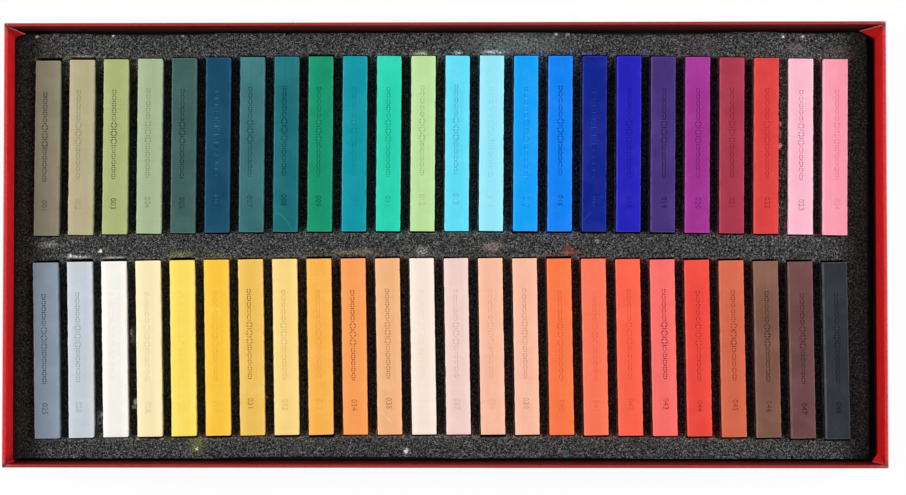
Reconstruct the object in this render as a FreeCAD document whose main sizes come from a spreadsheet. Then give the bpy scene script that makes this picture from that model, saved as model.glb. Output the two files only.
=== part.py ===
import FreeCAD, Part
import os
import Sketcher

# An open pastel tray: a folded board tray wrapped in red paper, with a slotted sheet of black foam
# inside that holds two rows of square pastel sticks. Millimetres, +Z up, +X along the rows. The
# origin is the middle of the underside. The far row lies towards +Y and the near row towards -Y,
# and each row is numbered from its left end, at -X.

FAR_ROW = (
    "olive_grey", "sand", "moss_lime", "pale_sage", "deep_sage", "deep_blue", "grey_teal", "teal",
    "emerald", "turquoise", "mint", "light_lime", "sky_cyan", "pale_cyan", "azure", "bright_blue",
    "ultramarine", "blue_violet", "dark_violet", "magenta_purple", "crimson", "scarlet",
    "light_pink", "pink",
)
NEAR_ROW = (
    "slate", "light_grey_blue", "white", "cream", "yellow", "golden_yellow", "ochre",
    "light_ochre", "amber", "orange", "tan", "pale_peach", "rose_grey", "salmon", "peach",
    "vivid_orange", "coral", "vermilion", "coral_pink", "poppy_red", "terracotta", "brown",
    "maroon_brown", "blue_black",
)

# Name: (value, what it is). Lengths are in millimetres and angles in degrees.
SIZES = {
    "stick_length": (65.0, "length of a pastel stick"),
    "stick_side": (9.1, "side of a stick's square section"),
    "stick_chamfer": (0.3, "worn edge of a stick"),
    "slot_side_gap": (0.25, "room beside a stick, on each side"),
    "slot_end_gap": (0.5, "room past a stick, at each end"),
    "strip_width": (3.05, "foam between two neighbouring slots"),
    "band_width": (8.8, "foam between the two rows of slots"),
    "left_margin": (7.5, "foam left of the first slots"),
    "right_margin": (7.3, "foam right of the last slots"),
    "far_margin": (9.7, "foam past the far row, at the row's ends"),
    "near_margin": (6.8, "foam past the near row, at the row's ends"),
    "row_bow": (1.6, "how far the middle of a row bows towards the far side"),
    "far_lean": (-0.45, "turn of the far row's sticks, anticlockwise from above"),
    "near_lean": (0.9, "turn of the near row's sticks, anticlockwise from above"),
    "backing_thickness": (2.5, "unslotted foam that the sticks stand on"),
    "slotted_thickness": (7.8, "slotted foam"),
    "left_gap": (0.3, "room between the foam and the left wall"),
    "right_gap": (3.5, "room between the foam and the right wall"),
    "far_gap": (1.25, "room between the foam and the far wall"),
    "near_gap": (1.1, "room between the foam and the near wall"),
    "rim_rise": (8.4, "height of the rim above the foam"),
    "board_thickness": (1.0, "greyboard of the tray"),
    "fold_radius": (0.4, "outer radius of the board's folds and corners"),
    "paper_thickness": (0.15, "covering paper"),
    "turn_in": (14.0, "how far the paper is turned in below the rim"),
    "turn_under": (12.0, "how far the paper is turned under the base"),
    "sheet_inset": (2.5, "edge of the base sheet, in from the tray's edge"),
    "stay_thickness": (0.08, "tape that holds a corner of the board"),
    "stay_reach": (12.0, "how far a corner tape reaches along each wall"),
    "stay_inset": (1.5, "end of a corner tape, in from the board's edge"),
}

# Name: formula. These follow from the sizes above, so that what fits together keeps its fit.
DERIVED = {
    "row_count": f"{len(FAR_ROW)}",
    "slot_width": "stick_side + 2 * slot_side_gap",
    "slot_length": "stick_length + 2 * slot_end_gap",
    "slot_pitch": "slot_width + strip_width",
    "slots_span": "row_count * slot_pitch - strip_width",
    "foam_length": "slots_span + left_margin + right_margin",
    "foam_width": "2 * slot_length + band_width + far_margin + near_margin",
    "wall": "board_thickness + 2 * paper_thickness",
    "hollow_length": "foam_length + left_gap + right_gap",
    "hollow_width": "foam_width + far_gap + near_gap",
    "tray_length": "hollow_length + 2 * wall",
    "tray_width": "hollow_width + 2 * wall",
    "board_length": "tray_length - 2 * paper_thickness",
    "board_width": "tray_width - 2 * paper_thickness",
    "board_level": "2 * paper_thickness",
    "floor_level": "board_level + board_thickness",
    "stick_level": "floor_level + backing_thickness",
    "foam_top": "stick_level + slotted_thickness",
    "tray_height": "foam_top + rim_rise",
    "board_height": "tray_height - paper_thickness - board_level",
    "turn_in_level": "tray_height - turn_in",
    "foam_x": "(left_gap - right_gap) / 2",
    "foam_y": "(near_gap - far_gap) / 2",
    "first_slot_x": "foam_x - foam_length / 2 + left_margin + slot_width / 2",
    "last_slot_x": "first_slot_x + (row_count - 1) * slot_pitch",
    "near_row_y": "foam_y - foam_width / 2 + near_margin + slot_length / 2",
    "far_row_y": "near_row_y + slot_length + band_width",
}

doc = FreeCAD.newDocument("pastel_tray")
pieces = []


def in_sheet(formula):
    """The formula with the sheet's name put before each of its cells."""
    spaced = formula.replace("(", " ( ").replace(")", " ) ")
    known = SIZES.keys() | DERIVED.keys()
    return " ".join(f"Sizes.{word}" if word in known else word for word in spaced.split())


def bind(thing, **formulas):
    """Binds a thing's properties to formulas. Two underscores in a name stand for a dot."""
    for name, formula in formulas.items():
        thing.setExpression(name.replace("__", "."), in_sheet(formula))


def place(thing, x="0", y="0", z="0"):
    bind(thing, Placement__Base__x=x, Placement__Base__y=y, Placement__Base__z=z)


def finished(thing, label):
    """Gives a piece its name and adds it to the pieces that are written out."""
    thing.Label = label
    pieces.append(thing)
    return thing


def make_sheet():
    """The spreadsheet of driving sizes, and below them the sizes that follow."""
    sheet = doc.addObject("Spreadsheet::Sheet", "Sizes")
    cells = [(name, f"{value}", note) for name, (value, note) in SIZES.items()]
    cells += [(name, f"={formula}", "") for name, formula in DERIVED.items()]
    for row, (name, content, note) in enumerate(cells, start=1):
        sheet.set(f"A{row}", name)
        sheet.set(f"B{row}", content)
        sheet.set(f"C{row}", note)
        sheet.setAlias(f"B{row}", name)
    doc.recompute()


def rectangle(body, name, length, width):
    """A sketch of a rectangle in the body's XY plane, centred on its axis."""
    plane = next(f for f in body.Origin.OriginFeatures if f.Role == "XY_Plane")
    sketch = body.newObject("Sketcher::SketchObject", name)
    sketch.AttachmentSupport = [(plane, "")]
    sketch.MapMode = "FlatFace"
    near_left, near_right, far_right, far_left = (
        FreeCAD.Vector(x, y, 0) for x, y in ((-1, -1), (1, -1), (1, 1), (-1, 1))
    )
    near, right, far, left = (
        sketch.addGeometry(Part.LineSegment(start, end))
        for start, end in (
            (near_left, near_right),
            (near_right, far_right),
            (far_right, far_left),
            (far_left, near_left),
        )
    )
    first, last, origin = 1, 2, -1
    for side, following in ((near, right), (right, far), (far, left), (left, near)):
        sketch.addConstraint(Sketcher.Constraint("Coincident", side, last, following, first))
    for kind, side in (("Horizontal", near), ("Horizontal", far)):
        sketch.addConstraint(Sketcher.Constraint(kind, side))
    for kind, side in (("Vertical", right), ("Vertical", left)):
        sketch.addConstraint(Sketcher.Constraint(kind, side))
    sketch.addConstraint(
        Sketcher.Constraint("Symmetric", near, first, far, first, origin, first)
    )
    start_size = near_left.distanceToPoint(near_right)
    for kind, side, label, size in (
        ("DistanceX", near, "length", length),
        ("DistanceY", right, "width", width),
    ):
        constraint = Sketcher.Constraint(kind, side, first, side, last, start_size)
        sketch.renameConstraint(sketch.addConstraint(constraint), label)
        bind(sketch, **{f"Constraints__{label}": size})
    return sketch


def plate(name, length, width, height):
    """A flat rectangular body, centred on its own axis and standing on its own XY plane."""
    body = doc.addObject("PartDesign::Body", name)
    outline = rectangle(body, f"{name}_outline", length, width)
    pad = body.newObject("PartDesign::Pad", f"{name}_pad")
    pad.Profile = outline
    bind(pad, Length=height)
    doc.recompute()
    return body


def folded_block(name, length, width, height, radius):
    """A block with rounded upright and bottom edges, as wide as a tray is on the outside."""
    body = plate(name, length, width, height)
    base = body.Tip

    def is_folded(edge):
        ends = [vertex.Point for vertex in edge.Vertexes]
        upright = ends[0].z != ends[1].z
        return upright or max(end.z for end in ends) < base.Shape.BoundBox.Center.z

    folds = [f"Edge{i}" for i, edge in enumerate(base.Shape.Edges, start=1) if is_folded(edge)]
    fillet = body.newObject("PartDesign::Fillet", f"{name}_folds")
    fillet.Base = (base, folds)
    bind(fillet, Radius=radius)
    return body


def box(name, length, width, height, x="0", y="0", z="0"):
    """A box whose footprint is centred on x and y, and whose underside is at z."""
    thing = doc.addObject("Part::Box", name)
    bind(thing, Length=length, Width=width, Height=height)
    place(thing, f"{x} - ( {length} ) / 2", f"{y} - ( {width} ) / 2", z)
    return thing


def union(name, things):
    thing = doc.addObject("Part::MultiFuse", name)
    thing.Shapes = things
    return thing


def cut(name, base, tool):
    thing = doc.addObject("Part::Cut", name)
    thing.Base = base
    thing.Tool = tool
    return thing


def common(name, base, tool):
    thing = doc.addObject("Part::Common", name)
    thing.Base = base
    thing.Tool = tool
    return thing


def make_board():
    """The greyboard tray, a base and four walls folded up from one blank, and its solid block."""
    block = folded_block("board_block", "board_length", "board_width", "board_height", "fold_radius")
    place(block, z="board_level")
    hollow = box(
        "board_hollow",
        "board_length - 2 * board_thickness",
        "board_width - 2 * board_thickness",
        "board_height",
        z="floor_level",
    )
    return finished(cut("board_tray", block, hollow), "tray_board"), block


def make_stays(board_block):
    """Four tapes round the outside of the board's corners, which hold its walls up."""
    block = folded_block(
        "stay_block",
        "board_length + 2 * stay_thickness",
        "board_width + 2 * stay_thickness",
        "board_height",
        "fold_radius + stay_thickness",
    )
    place(block, z="board_level")
    ring = cut("stay_ring", block, board_block)
    stays = []
    for name, x_side, y_side in (
        ("corner_stay_far_left", "-1", "1"),
        ("corner_stay_far_right", "1", "1"),
        ("corner_stay_near_left", "-1", "-1"),
        ("corner_stay_near_right", "1", "-1"),
    ):
        reach = box(
            f"{name}_reach",
            "2 * stay_reach",
            "2 * stay_reach",
            "board_height - 2 * stay_inset",
            f"{x_side} * board_length / 2",
            f"{y_side} * board_width / 2",
            "board_level + stay_inset",
        )
        stays.append(finished(common(f"{name}_tape", ring, reach), name))
    return stays


def make_wrap(board, stays):
    """The red paper: up the walls, over the rim, turned in, and turned under the base."""
    block = folded_block(
        "wrap_block",
        "tray_length",
        "tray_width",
        "tray_height - paper_thickness",
        "fold_radius + paper_thickness",
    )
    place(block, z="paper_thickness")
    tray_hollow = box(
        "wrap_hollow", "hollow_length", "hollow_width", "turn_in", z="turn_in_level"
    )
    bare_hollow = box(
        "bare_hollow",
        "board_length - 2 * board_thickness",
        "board_width - 2 * board_thickness",
        "turn_in_level - floor_level",
        z="floor_level",
    )
    bare_base = box(
        "bare_base",
        "tray_length - 2 * turn_under",
        "tray_width - 2 * turn_under",
        "paper_thickness",
        z="paper_thickness",
    )
    inside = union("inside_of_wrap", [board, tray_hollow, bare_hollow, bare_base, *stays])
    return finished(cut("wrap_sheet", block, inside), "side_wrap")


def make_base_sheet():
    """The sheet pasted under the base, over the turned-under paper."""
    length, width = "tray_length - 2 * sheet_inset", "tray_width - 2 * sheet_inset"
    return finished(plate("base_paper", length, width, "paper_thickness"), "base_sheet")


def row_place(index, row_y):
    """The middle of one place in a row: evenly spaced along X, on the row's shallow bow."""
    x = f"first_slot_x + {index} * slot_pitch"
    middle = "( first_slot_x + last_slot_x ) / 2"
    from_middle = f"( {x} - {middle} ) / ( last_slot_x - {middle} )"
    return x, f"{row_y} + row_bow * ( 1 - ( {from_middle} ) ^ 2 )"


def rows():
    """Each place that holds a stick: its name, its middle and its turn."""
    for row, colours, row_y, lean in (
        ("far", FAR_ROW, "far_row_y", "far_lean"),
        ("near", NEAR_ROW, "near_row_y", "near_lean"),
    ):
        for index, colour in enumerate(colours):
            yield f"{row}_{index + 1:02d}_{colour}", *row_place(index, row_y), lean


def make_foam():
    """The foam: a plain backing sheet, and on it a sheet with a slot for each stick."""
    backing = plate("backing", "foam_length", "foam_width", "backing_thickness")
    place(backing, "foam_x", "foam_y", "floor_level")
    finished(backing, "foam_backing")
    sheet = plate("foam_sheet", "foam_length", "foam_width", "slotted_thickness")
    place(sheet, "foam_x", "foam_y", "stick_level")
    slots = []
    for name, x, y, lean in rows():
        slot = plate(f"slot_{name}", "slot_width", "slot_length", "slotted_thickness")
        place(slot, x, y, "stick_level")
        bind(slot, Placement__Rotation__Angle=lean)
        slots.append(slot)
    return finished(cut("slotted_sheet", sheet, union("slots", slots)), "foam_insert"), sheet, slots


def make_sticks():
    """The pastel sticks, each standing on the foam backing in a slot of its own."""
    for name, x, y, lean in rows():
        stick = plate(name, "stick_side", "stick_length", "stick_side")
        square = stick.Tip
        worn = stick.newObject("PartDesign::Chamfer", f"{name}_edges")
        worn.Base = (square, [f"Edge{i + 1}" for i in range(len(square.Shape.Edges))])
        bind(worn, Size="stick_chamfer")
        place(stick, x, y, "stick_level")
        bind(stick, Placement__Rotation__Angle=lean)
        finished(stick, f"pastel_{name}")


def check(foam, sheet, slots):
    """Stops on a failed object, on a bad shape, or where the slots cut too little."""
    failed = [thing.Name for thing in doc.Objects if {"Invalid", "Error"} & set(thing.State)]
    bad = [thing.Label for thing in pieces if thing.Shape.isNull() or not thing.Shape.isValid()]
    if failed or bad:
        raise RuntimeError(f"failed objects {failed}, bad pieces {bad}")
    removed = sheet.Shape.Volume - foam.Shape.Volume
    if abs(removed - sum(slot.Shape.Volume for slot in slots)) > slots[0].Shape.Volume / 2:
        raise RuntimeError("the slots don't all cut the foam")


def main():
    make_sheet()
    board, board_block = make_board()
    stays = make_stays(board_block)
    make_wrap(board, stays)
    make_base_sheet()
    foam = make_foam()
    make_sticks()
    doc.recompute()
    check(*foam)
    os.makedirs("parts", exist_ok=True)
    for thing in pieces:
        thing.Shape.exportStep(f"parts/{thing.Label}.step")
    print(f"{len(pieces)} pieces written")


main()
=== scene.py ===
"""Looks of an open, paper-wrapped tray with 48 soft pastel sticks laid in slotted foam.

Every piece is built in metres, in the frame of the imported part: x runs along the tray,
y from its near side to its far side, and z up from the surface that it stands on.
"""

import logging
import math
import random
from collections.abc import Callable, Iterable
from dataclasses import dataclass, field
from enum import Enum

import bmesh
import bpy
import numpy as np
from mathutils import Matrix, Vector


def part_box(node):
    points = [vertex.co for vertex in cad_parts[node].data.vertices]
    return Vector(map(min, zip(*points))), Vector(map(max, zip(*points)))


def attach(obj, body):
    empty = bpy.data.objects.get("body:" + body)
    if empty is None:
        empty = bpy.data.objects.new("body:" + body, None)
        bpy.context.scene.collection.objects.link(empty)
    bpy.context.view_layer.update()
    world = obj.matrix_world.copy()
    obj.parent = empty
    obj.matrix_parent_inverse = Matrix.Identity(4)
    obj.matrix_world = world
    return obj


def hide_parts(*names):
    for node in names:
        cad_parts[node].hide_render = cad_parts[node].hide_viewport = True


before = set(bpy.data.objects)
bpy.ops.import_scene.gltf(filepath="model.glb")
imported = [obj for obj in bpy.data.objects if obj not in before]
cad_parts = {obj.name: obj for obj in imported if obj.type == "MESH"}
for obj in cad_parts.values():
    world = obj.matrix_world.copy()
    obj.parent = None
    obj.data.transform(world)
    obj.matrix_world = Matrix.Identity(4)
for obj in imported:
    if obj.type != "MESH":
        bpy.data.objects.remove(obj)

MM = 0.001
Piece = bpy.types.Object
Material = bpy.types.Material
Socket = bpy.types.NodeSocket
Shade = tuple[int, int, int]
Colour = tuple[float, float, float, float]
Scratch = tuple[float, float, float, float, float]
log = logging.getLogger("pastel_tray")


class Row(Enum):
    """The two rows of sticks, with the small lean that each row lies at."""

    FAR = ("far", -0.45)
    NEAR = ("near", 0.90)

    @property
    def word(self) -> str:
        """The row's word in the names of nodes and bodies."""
        return self.value[0]

    @property
    def lean(self) -> float:
        """The turn of the row's sticks about the upright axis, in radians."""
        return math.radians(self.value[1])


class Slot(Enum):
    """The finishes that the part's record names, apart from the pastels."""

    PAPER = "red_paper"
    BOARD = "greyboard"
    TAPE = "kraft_tape"
    FOAM = "slotted_foam"
    BACKING = "backing_foam"


@dataclass(frozen=True)
class Tone:
    """One pastel colour.

    It holds the colour's name in the part, its shade as 0-255 red, green, blue, how strongly
    the stamp shows (above 0 as painted shade in it, below 0 where pale dust fills it), how much
    pale dust lies on it, and how much paler it gets towards its far end.
    """

    name: str
    shade: Shade
    stamp: float
    dusty: float
    tip: float = 0.0


FAR_TONES = (
    Tone("olive_grey", (132, 126, 105), 1.0, 0.05),
    Tone("sand", (179, 170, 134), 0.35, 0.1),
    Tone("moss_lime", (169, 178, 118), 0.9, 0.05),
    Tone("pale_sage", (165, 182, 146), 0.5, 0.1),
    Tone("deep_sage", (58, 90, 86), 0.8, 0.15),
    Tone("deep_blue", (11, 70, 98), -0.8, 0.25),
    Tone("grey_teal", (54, 109, 112), 0.7, 0.15, 0.5),
    Tone("teal", (20, 105, 113), 0.8, 0.2, 0.4),
    Tone("emerald", (14, 146, 107), 0.6, 0.2),
    Tone("turquoise", (1, 150, 164), 0.15, 0.1, 0.1),
    Tone("mint", (37, 210, 175), 0.6, 0.2, 0.5),
    Tone("light_lime", (188, 226, 159), 0.4, 0.05),
    Tone("sky_cyan", (94, 222, 249), 0.5, 0.15),
    Tone("pale_cyan", (150, 233, 252), 0.12, 0.05),
    Tone("azure", (6, 162, 250), -0.8, 0.15),
    Tone("bright_blue", (1, 131, 245), 0.9, 0.1),
    Tone("ultramarine", (2, 30, 139), -0.8, 0.3),
    Tone("blue_violet", (32, 29, 185), 0.5, 0.25),
    Tone("dark_violet", (66, 48, 118), 0.8, 0.2),
    Tone("magenta_purple", (159, 47, 143), 0.6, 0.3, 0.4),
    Tone("crimson", (167, 52, 76), 0.5, 0.1, 0.15),
    Tone("scarlet", (218, 64, 63), 0.5, 0.1),
    Tone("light_pink", (251, 183, 204), 0.6, 0.1),
    Tone("pink", (251, 156, 175), 0.35, 0.1),
)
NEAR_TONES = (
    Tone("slate", (132, 147, 161), 1.0, 0.05),
    Tone("light_grey_blue", (196, 203, 211), 0.5, 0.05),
    Tone("white", (246, 243, 235), 0.06, 0.0),
    Tone("cream", (252, 233, 184), 0.25, 0.05),
    Tone("yellow", (252, 223, 98), 0.04, 0.05),
    Tone("golden_yellow", (252, 200, 63), 0.2, 0.05),
    Tone("ochre", (240, 193, 90), 0.8, 0.05),
    Tone("light_ochre", (252, 216, 132), 0.35, 0.05),
    Tone("amber", (252, 181, 78), 0.2, 0.05),
    Tone("orange", (252, 160, 89), 0.9, 0.05),
    Tone("tan", (245, 182, 129), 0.65, 0.1),
    Tone("pale_peach", (251, 233, 216), 0.07, 0.05),
    Tone("rose_grey", (244, 210, 200), 0.3, 0.05),
    Tone("salmon", (252, 189, 160), 0.15, 0.05),
    Tone("peach", (252, 188, 160), 0.45, 0.05),
    Tone("vivid_orange", (252, 120, 70), 0.35, 0.05, 0.2),
    Tone("coral", (252, 118, 87), 0.2, 0.05, 0.25),
    Tone("vermilion", (252, 99, 73), 0.3, 0.05, 0.25),
    Tone("coral_pink", (249, 109, 103), 0.9, 0.05, 0.25),
    Tone("poppy_red", (237, 72, 59), 0.6, 0.05, 0.45),
    Tone("terracotta", (210, 101, 72), 0.8, 0.05, 0.35),
    Tone("brown", (121, 83, 68), 0.9, 0.1, 0.5),
    Tone("maroon_brown", (105, 67, 67), 0.8, 0.15, 0.2),
    Tone("blue_black", (42, 46, 53), 0.8, 0.15),
)


def linear(shade: Shade) -> Colour:
    """Turn a 0-255 shade into the linear colour that a shader takes, by the sRGB curve.

    Args:
        shade: Red, green and blue, 0 to 255.

    Returns:
        Linear red, green and blue, and an alpha of 1.
    """
    parts = [v / 255 for v in shade]
    low = [v / 12.92 if v <= 0.04045 else ((v + 0.055) / 1.055) ** 2.4 for v in parts]
    return (*low, 1.0)


def lifted(shade: Colour, much: float, grey: float = 0.35) -> Colour:
    """Lift a linear colour towards white, and its strongest channel the most, so its hue stays.

    Args:
        shade: The linear colour.
        much: How far the strongest channel goes, 0 to 1.
        grey: The least share of that for a weak channel.

    Returns:
        The paler linear colour.
    """
    top = max(shade[:3])
    return (*(v + (1.0 - v) * much * (grey + (1.0 - grey) * v / top) for v in shade[:3]), 1.0)


def dimmed(shade: Colour, share: float) -> Colour:
    """Keep only a share of a linear colour's light."""
    return (*(v * share for v in shade[:3]), 1.0)


def wire(tree: bpy.types.NodeTree, socket: Socket, value: object) -> None:
    """Put a constant on a socket, or a link into it.

    Args:
        tree: The node tree.
        socket: What is fed.
        value: The constant or link.
    """
    if isinstance(value, Socket):
        tree.links.new(value, socket)
    else:
        socket.default_value = value


def add_node(
    tree: bpy.types.NodeTree, kind: str, inputs: dict[int | str, object] | None = None, **settings: object
) -> bpy.types.Node:
    """Add a shader node.

    Args:
        tree: The node tree that it goes into.
        kind: The node's type, less the word that every such type starts with.
        inputs: Constants and links for its sockets, by name or number.
        **settings: The node's own settings.

    Returns:
        The node.
    """
    node = tree.nodes.new(f"ShaderNode{kind}")
    for key, value in settings.items():
        setattr(node, key, value)
    for key, value in (inputs or {}).items():
        wire(tree, node.inputs[key], value)
    return node


class NodeBench:
    """One material on the bench: adds its patterns and lays colour after colour on its body.

    Everything is patterned on Object coordinates, in metres.
    """

    def __init__(self, name: str, gloss: float) -> None:
        """Start the material.

        Args:
            name: The material's name.
            gloss: How strongly it shines.
        """
        self.material = bpy.data.materials.new(name)
        self.material.use_nodes = True
        self.tree = self.material.node_tree
        self.tree.nodes.clear()
        self.shader = add_node(self.tree, "BsdfPrincipled", {"Specular IOR Level": gloss})
        add_node(self.tree, "OutputMaterial", {"Surface": self.shader.outputs[0]})
        self.place = add_node(self.tree, "TexCoord").outputs["Object"]
        self.body: Socket | None = None
        self.height: Socket | None = None

    def node(
        self, kind: str, inputs: dict[int | str, object], output: int | str = 0, **settings: object
    ) -> Socket:
        """Add a node and return one of its results."""
        return add_node(self.tree, kind, inputs, **settings).outputs[output]

    def math(self, how: str, a: object, b: object = 0.0) -> Socket:
        """Add one arithmetic node and return its result."""
        return self.node("Math", {0: a, 1: b}, operation=how)

    def times(self, first: object, *others: object) -> Socket:
        """Multiply values."""
        for other in others:
            first = self.math("MULTIPLY", first, other)
        return first

    def spread(
        self, value: object, low: float, high: float, to_low: float = 0.0, to_high: float = 1.0
    ) -> Socket:
        """Map a value from one range to another along a smooth step.

        Args:
            value: What is mapped.
            low: The start of the range read.
            high: The end of the range read.
            to_low: The result at low and before it.
            to_high: The result at high and after it.

        Returns:
            The mapped value.
        """
        inputs = {"Value": value, "From Min": low, "From Max": high, "To Min": to_low, "To Max": to_high}
        return self.node("MapRange", inputs, "Result", interpolation_type="SMOOTHSTEP")

    def blend(self, factor: object, a: object, b: object) -> Socket:
        """Mix two colours, each of them a 0-255 shade, a linear colour or a link."""
        a, b = (linear(c) if isinstance(c, tuple) and len(c) == 3 else c for c in (a, b))
        return self.node("Mix", {0: factor, 6: a, 7: b}, 2, data_type="RGBA")

    def coat(self, factor: object, colour: object) -> None:
        """Lay a colour over the body, as strongly as the factor says."""
        self.body = self.blend(factor, self.body, colour)

    def turned(
        self, centre: Iterable[float] = (0, 0, 0), turn: float = 0.0, scale: Iterable[float] = (1, 1, 1)
    ) -> Socket:
        """Centre, turn and scale the pattern's coordinates.

        Args:
            centre: The point that becomes the pattern's origin.
            turn: The turn of the piece about the upright axis, in radians.
            scale: The stretch of the coordinates after that.

        Returns:
            The new coordinates.
        """
        inputs = {"Vector": self.place, "Location": tuple(centre), "Rotation": (0.0, 0.0, turn)}
        inputs["Scale"] = tuple(1.0 / s for s in scale)
        return self.node("Mapping", inputs, vector_type="TEXTURE")

    def axes(self, vector: Socket) -> list[Socket]:
        """Return the x, y and z of a vector."""
        return list(add_node(self.tree, "SeparateXYZ", {0: vector}).outputs)

    def noise(
        self, size: float, detail: float = 2.0, rough: float = 0.5, vector: object = None, twist: float = 0.0
    ) -> Socket:
        """Add a cloudy pattern.

        Args:
            size: The size of its lumps, in metres, or in the units of the vector.
            detail: How many finer layers it has.
            rough: How strong the finer layers are.
            vector: Coordinates, where not the piece's own.
            twist: How much the pattern is distorted.

        Returns:
            A value from 0 to 1, about 0.5 on average.
        """
        inputs = {"Scale": 1 / size, "Detail": detail, "Roughness": rough, "Distortion": twist}
        return self.node("TexNoise", {"Vector": vector or self.place, **inputs}, "Fac")

    def cells(self, size: float) -> Socket:
        """Add a cell pattern and return how far each point lies from the middle of its cell."""
        return self.node("TexVoronoi", {"Vector": self.place, "Scale": 1 / size}, "Distance")

    def attribute(self, name: str, output: str = "Fac") -> Socket:
        """Read an attribute painted on the mesh."""
        return self.node("Attribute", {}, output, attribute_name=name)

    def relief(self, height: Socket, depth: float, strength: float) -> None:
        """Add a fine relief to the surface, on top of any that is there already.

        Args:
            height: The pattern, from 0 to 1.
            depth: The height that 1 stands for, in metres.
            strength: How strongly it shows.
        """
        below = {} if self.height is None else {"Normal": self.height}
        inputs = {"Strength": strength, "Distance": depth, "Height": height, **below}
        self.height = self.node("Bump", inputs, "Normal")

    def done(self, rough: object) -> Material:
        """Wire the body, the roughness and the relief to the shader and return the material."""
        for key, value in (("Base Color", self.body), ("Roughness", rough), ("Normal", self.height)):
            wire(self.tree, self.shader.inputs[key], value)
        return self.material


@dataclass(frozen=True)
class PaperFinish:
    """Smooth red wrapping paper, a little pale where it is folded, from rubbing and a painted sheen."""

    red: Shade = (208, 29, 33)
    deep: Shade = (199, 25, 29)
    rubbed: Shade = (222, 118, 114)
    core: Shade = (236, 170, 165)
    # Painted shade: the long rims are painted darker.
    rim_shade: Shade = (140, 35, 33)
    # Painted shade: the dark colour laid low on the inner walls.
    shade_dark: Shade = (22, 6, 7)
    # A brownish dust tint laid with painted shade low on the far inner wall.
    dust: Shade = (56, 44, 42)
    nick: Shade = (66, 18, 34)
    gloss: float = 0.24
    patch: float = 9.0 * MM
    fibre: float = 0.35 * MM
    rub: float = 1.1 * MM
    fray: float = 0.8 * MM
    dent: float = 0.7 * MM
    sheen: float = 3.0 * MM

    def material(self) -> Material:
        """Make the paper's material.

        Returns:
            A material that reads the attributes dull, fold, edge, soiled, dusted and nicked where
            a piece has them.
        """
        b = NodeBench("red_wrapping_paper", self.gloss)
        cloud = b.noise(self.patch, 3.0, 0.55)
        fibre = b.noise(self.fibre, 3.0, 0.6, b.turned(scale=(1.0, 0.45, 0.7)))
        b.body = b.blend(b.spread(cloud, 0.3, 0.7), self.red, self.deep)
        b.coat(b.spread(fibre, 0.55, 0.85, 0.0, 0.22), self.rubbed)
        # Painted shade: the long rims are painted darker.
        b.coat(b.attribute("rim_shade"), self.rim_shade)
        # Rubbing and a painted sheen at the folds and rims.
        b.coat(b.times(b.attribute("fold"), b.spread(b.noise(self.rub, 4.0, 0.65), 0.34, 0.68)), self.rubbed)
        b.coat(b.times(b.attribute("edge"), b.spread(b.noise(self.fray), 0.2, 0.5)), self.core)
        # Painted shade low on the inner walls.
        b.coat(b.attribute("painted_shade"), self.shade_dark)
        # A brownish dust tint laid with painted shade low on the far inner wall.
        b.coat(b.attribute("dust_and_shade"), self.dust)
        b.coat(b.times(b.attribute("nicked"), b.spread(b.noise(self.dent, 1.0), 0.50, 0.56)), self.nick)
        b.relief(fibre, 0.02 * MM, 0.6)
        b.relief(cloud, 0.08 * MM, 0.2)
        return b.done(b.spread(b.noise(self.sheen), 0.3, 0.7, 0.36, 0.5))


@dataclass(frozen=True)
class BoardFinish:
    """Grey rigid board made of recycled fibre."""

    grey: Shade = (150, 143, 130)
    dark: Shade = (118, 112, 102)
    fleck: Shade = (196, 190, 176)
    # Painted shade: the dark colour laid inside the tray.
    shade_dark: Shade = (24, 23, 22)
    gloss: float = 0.2
    patch: float = 6.0 * MM
    fibre: float = 0.9 * MM

    def material(self) -> Material:
        """Make the board's material.

        Returns:
            A material that reads the attribute soiled where a piece has it.
        """
        b = NodeBench("fibre_greyboard", self.gloss)
        cloud = b.noise(self.patch, 5.0, 0.6)
        strand = b.noise(self.fibre, 4.0, 0.6, b.turned(turn=0.5, scale=(0.3, 1.0, 1.0)), 0.6)
        b.body = b.blend(b.spread(cloud, 0.3, 0.7), self.grey, self.dark)
        b.coat(b.spread(strand, 0.58, 0.72, 0.0, 0.5), self.fleck)
        b.coat(b.spread(strand, 0.42, 0.3, 0.0, 0.45), self.dark)
        # Painted shade inside the tray, round and under the foam.
        b.coat(b.attribute("painted_shade"), self.shade_dark)
        b.relief(strand, 0.05 * MM, 0.7)
        return b.done(b.spread(cloud, 0.3, 0.7, 0.85, 0.97))


@dataclass(frozen=True)
class TapeFinish:
    """Brown gummed paper tape."""

    brown: Shade = (190, 158, 118)
    dark: Shade = (158, 124, 86)
    gloss: float = 0.4
    patch: float = 4.0 * MM
    fibre: float = 0.5 * MM

    def material(self) -> Material:
        """Make the tape's material.

        Returns:
            The material.
        """
        b = NodeBench("gummed_kraft_tape", self.gloss)
        strand = b.noise(self.fibre, 4.0, 0.6, b.turned(scale=(1.0, 1.0, 0.25)))
        cloud = b.noise(self.patch, 3.0)
        b.body = b.blend(b.spread(strand, 0.35, 0.65), self.dark, self.brown)
        b.coat(b.spread(cloud, 0.55, 0.75, 0.0, 0.3), self.dark)
        b.relief(strand, 0.02 * MM, 0.5)
        return b.done(b.spread(cloud, 0.3, 0.7, 0.5, 0.68))


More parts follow.
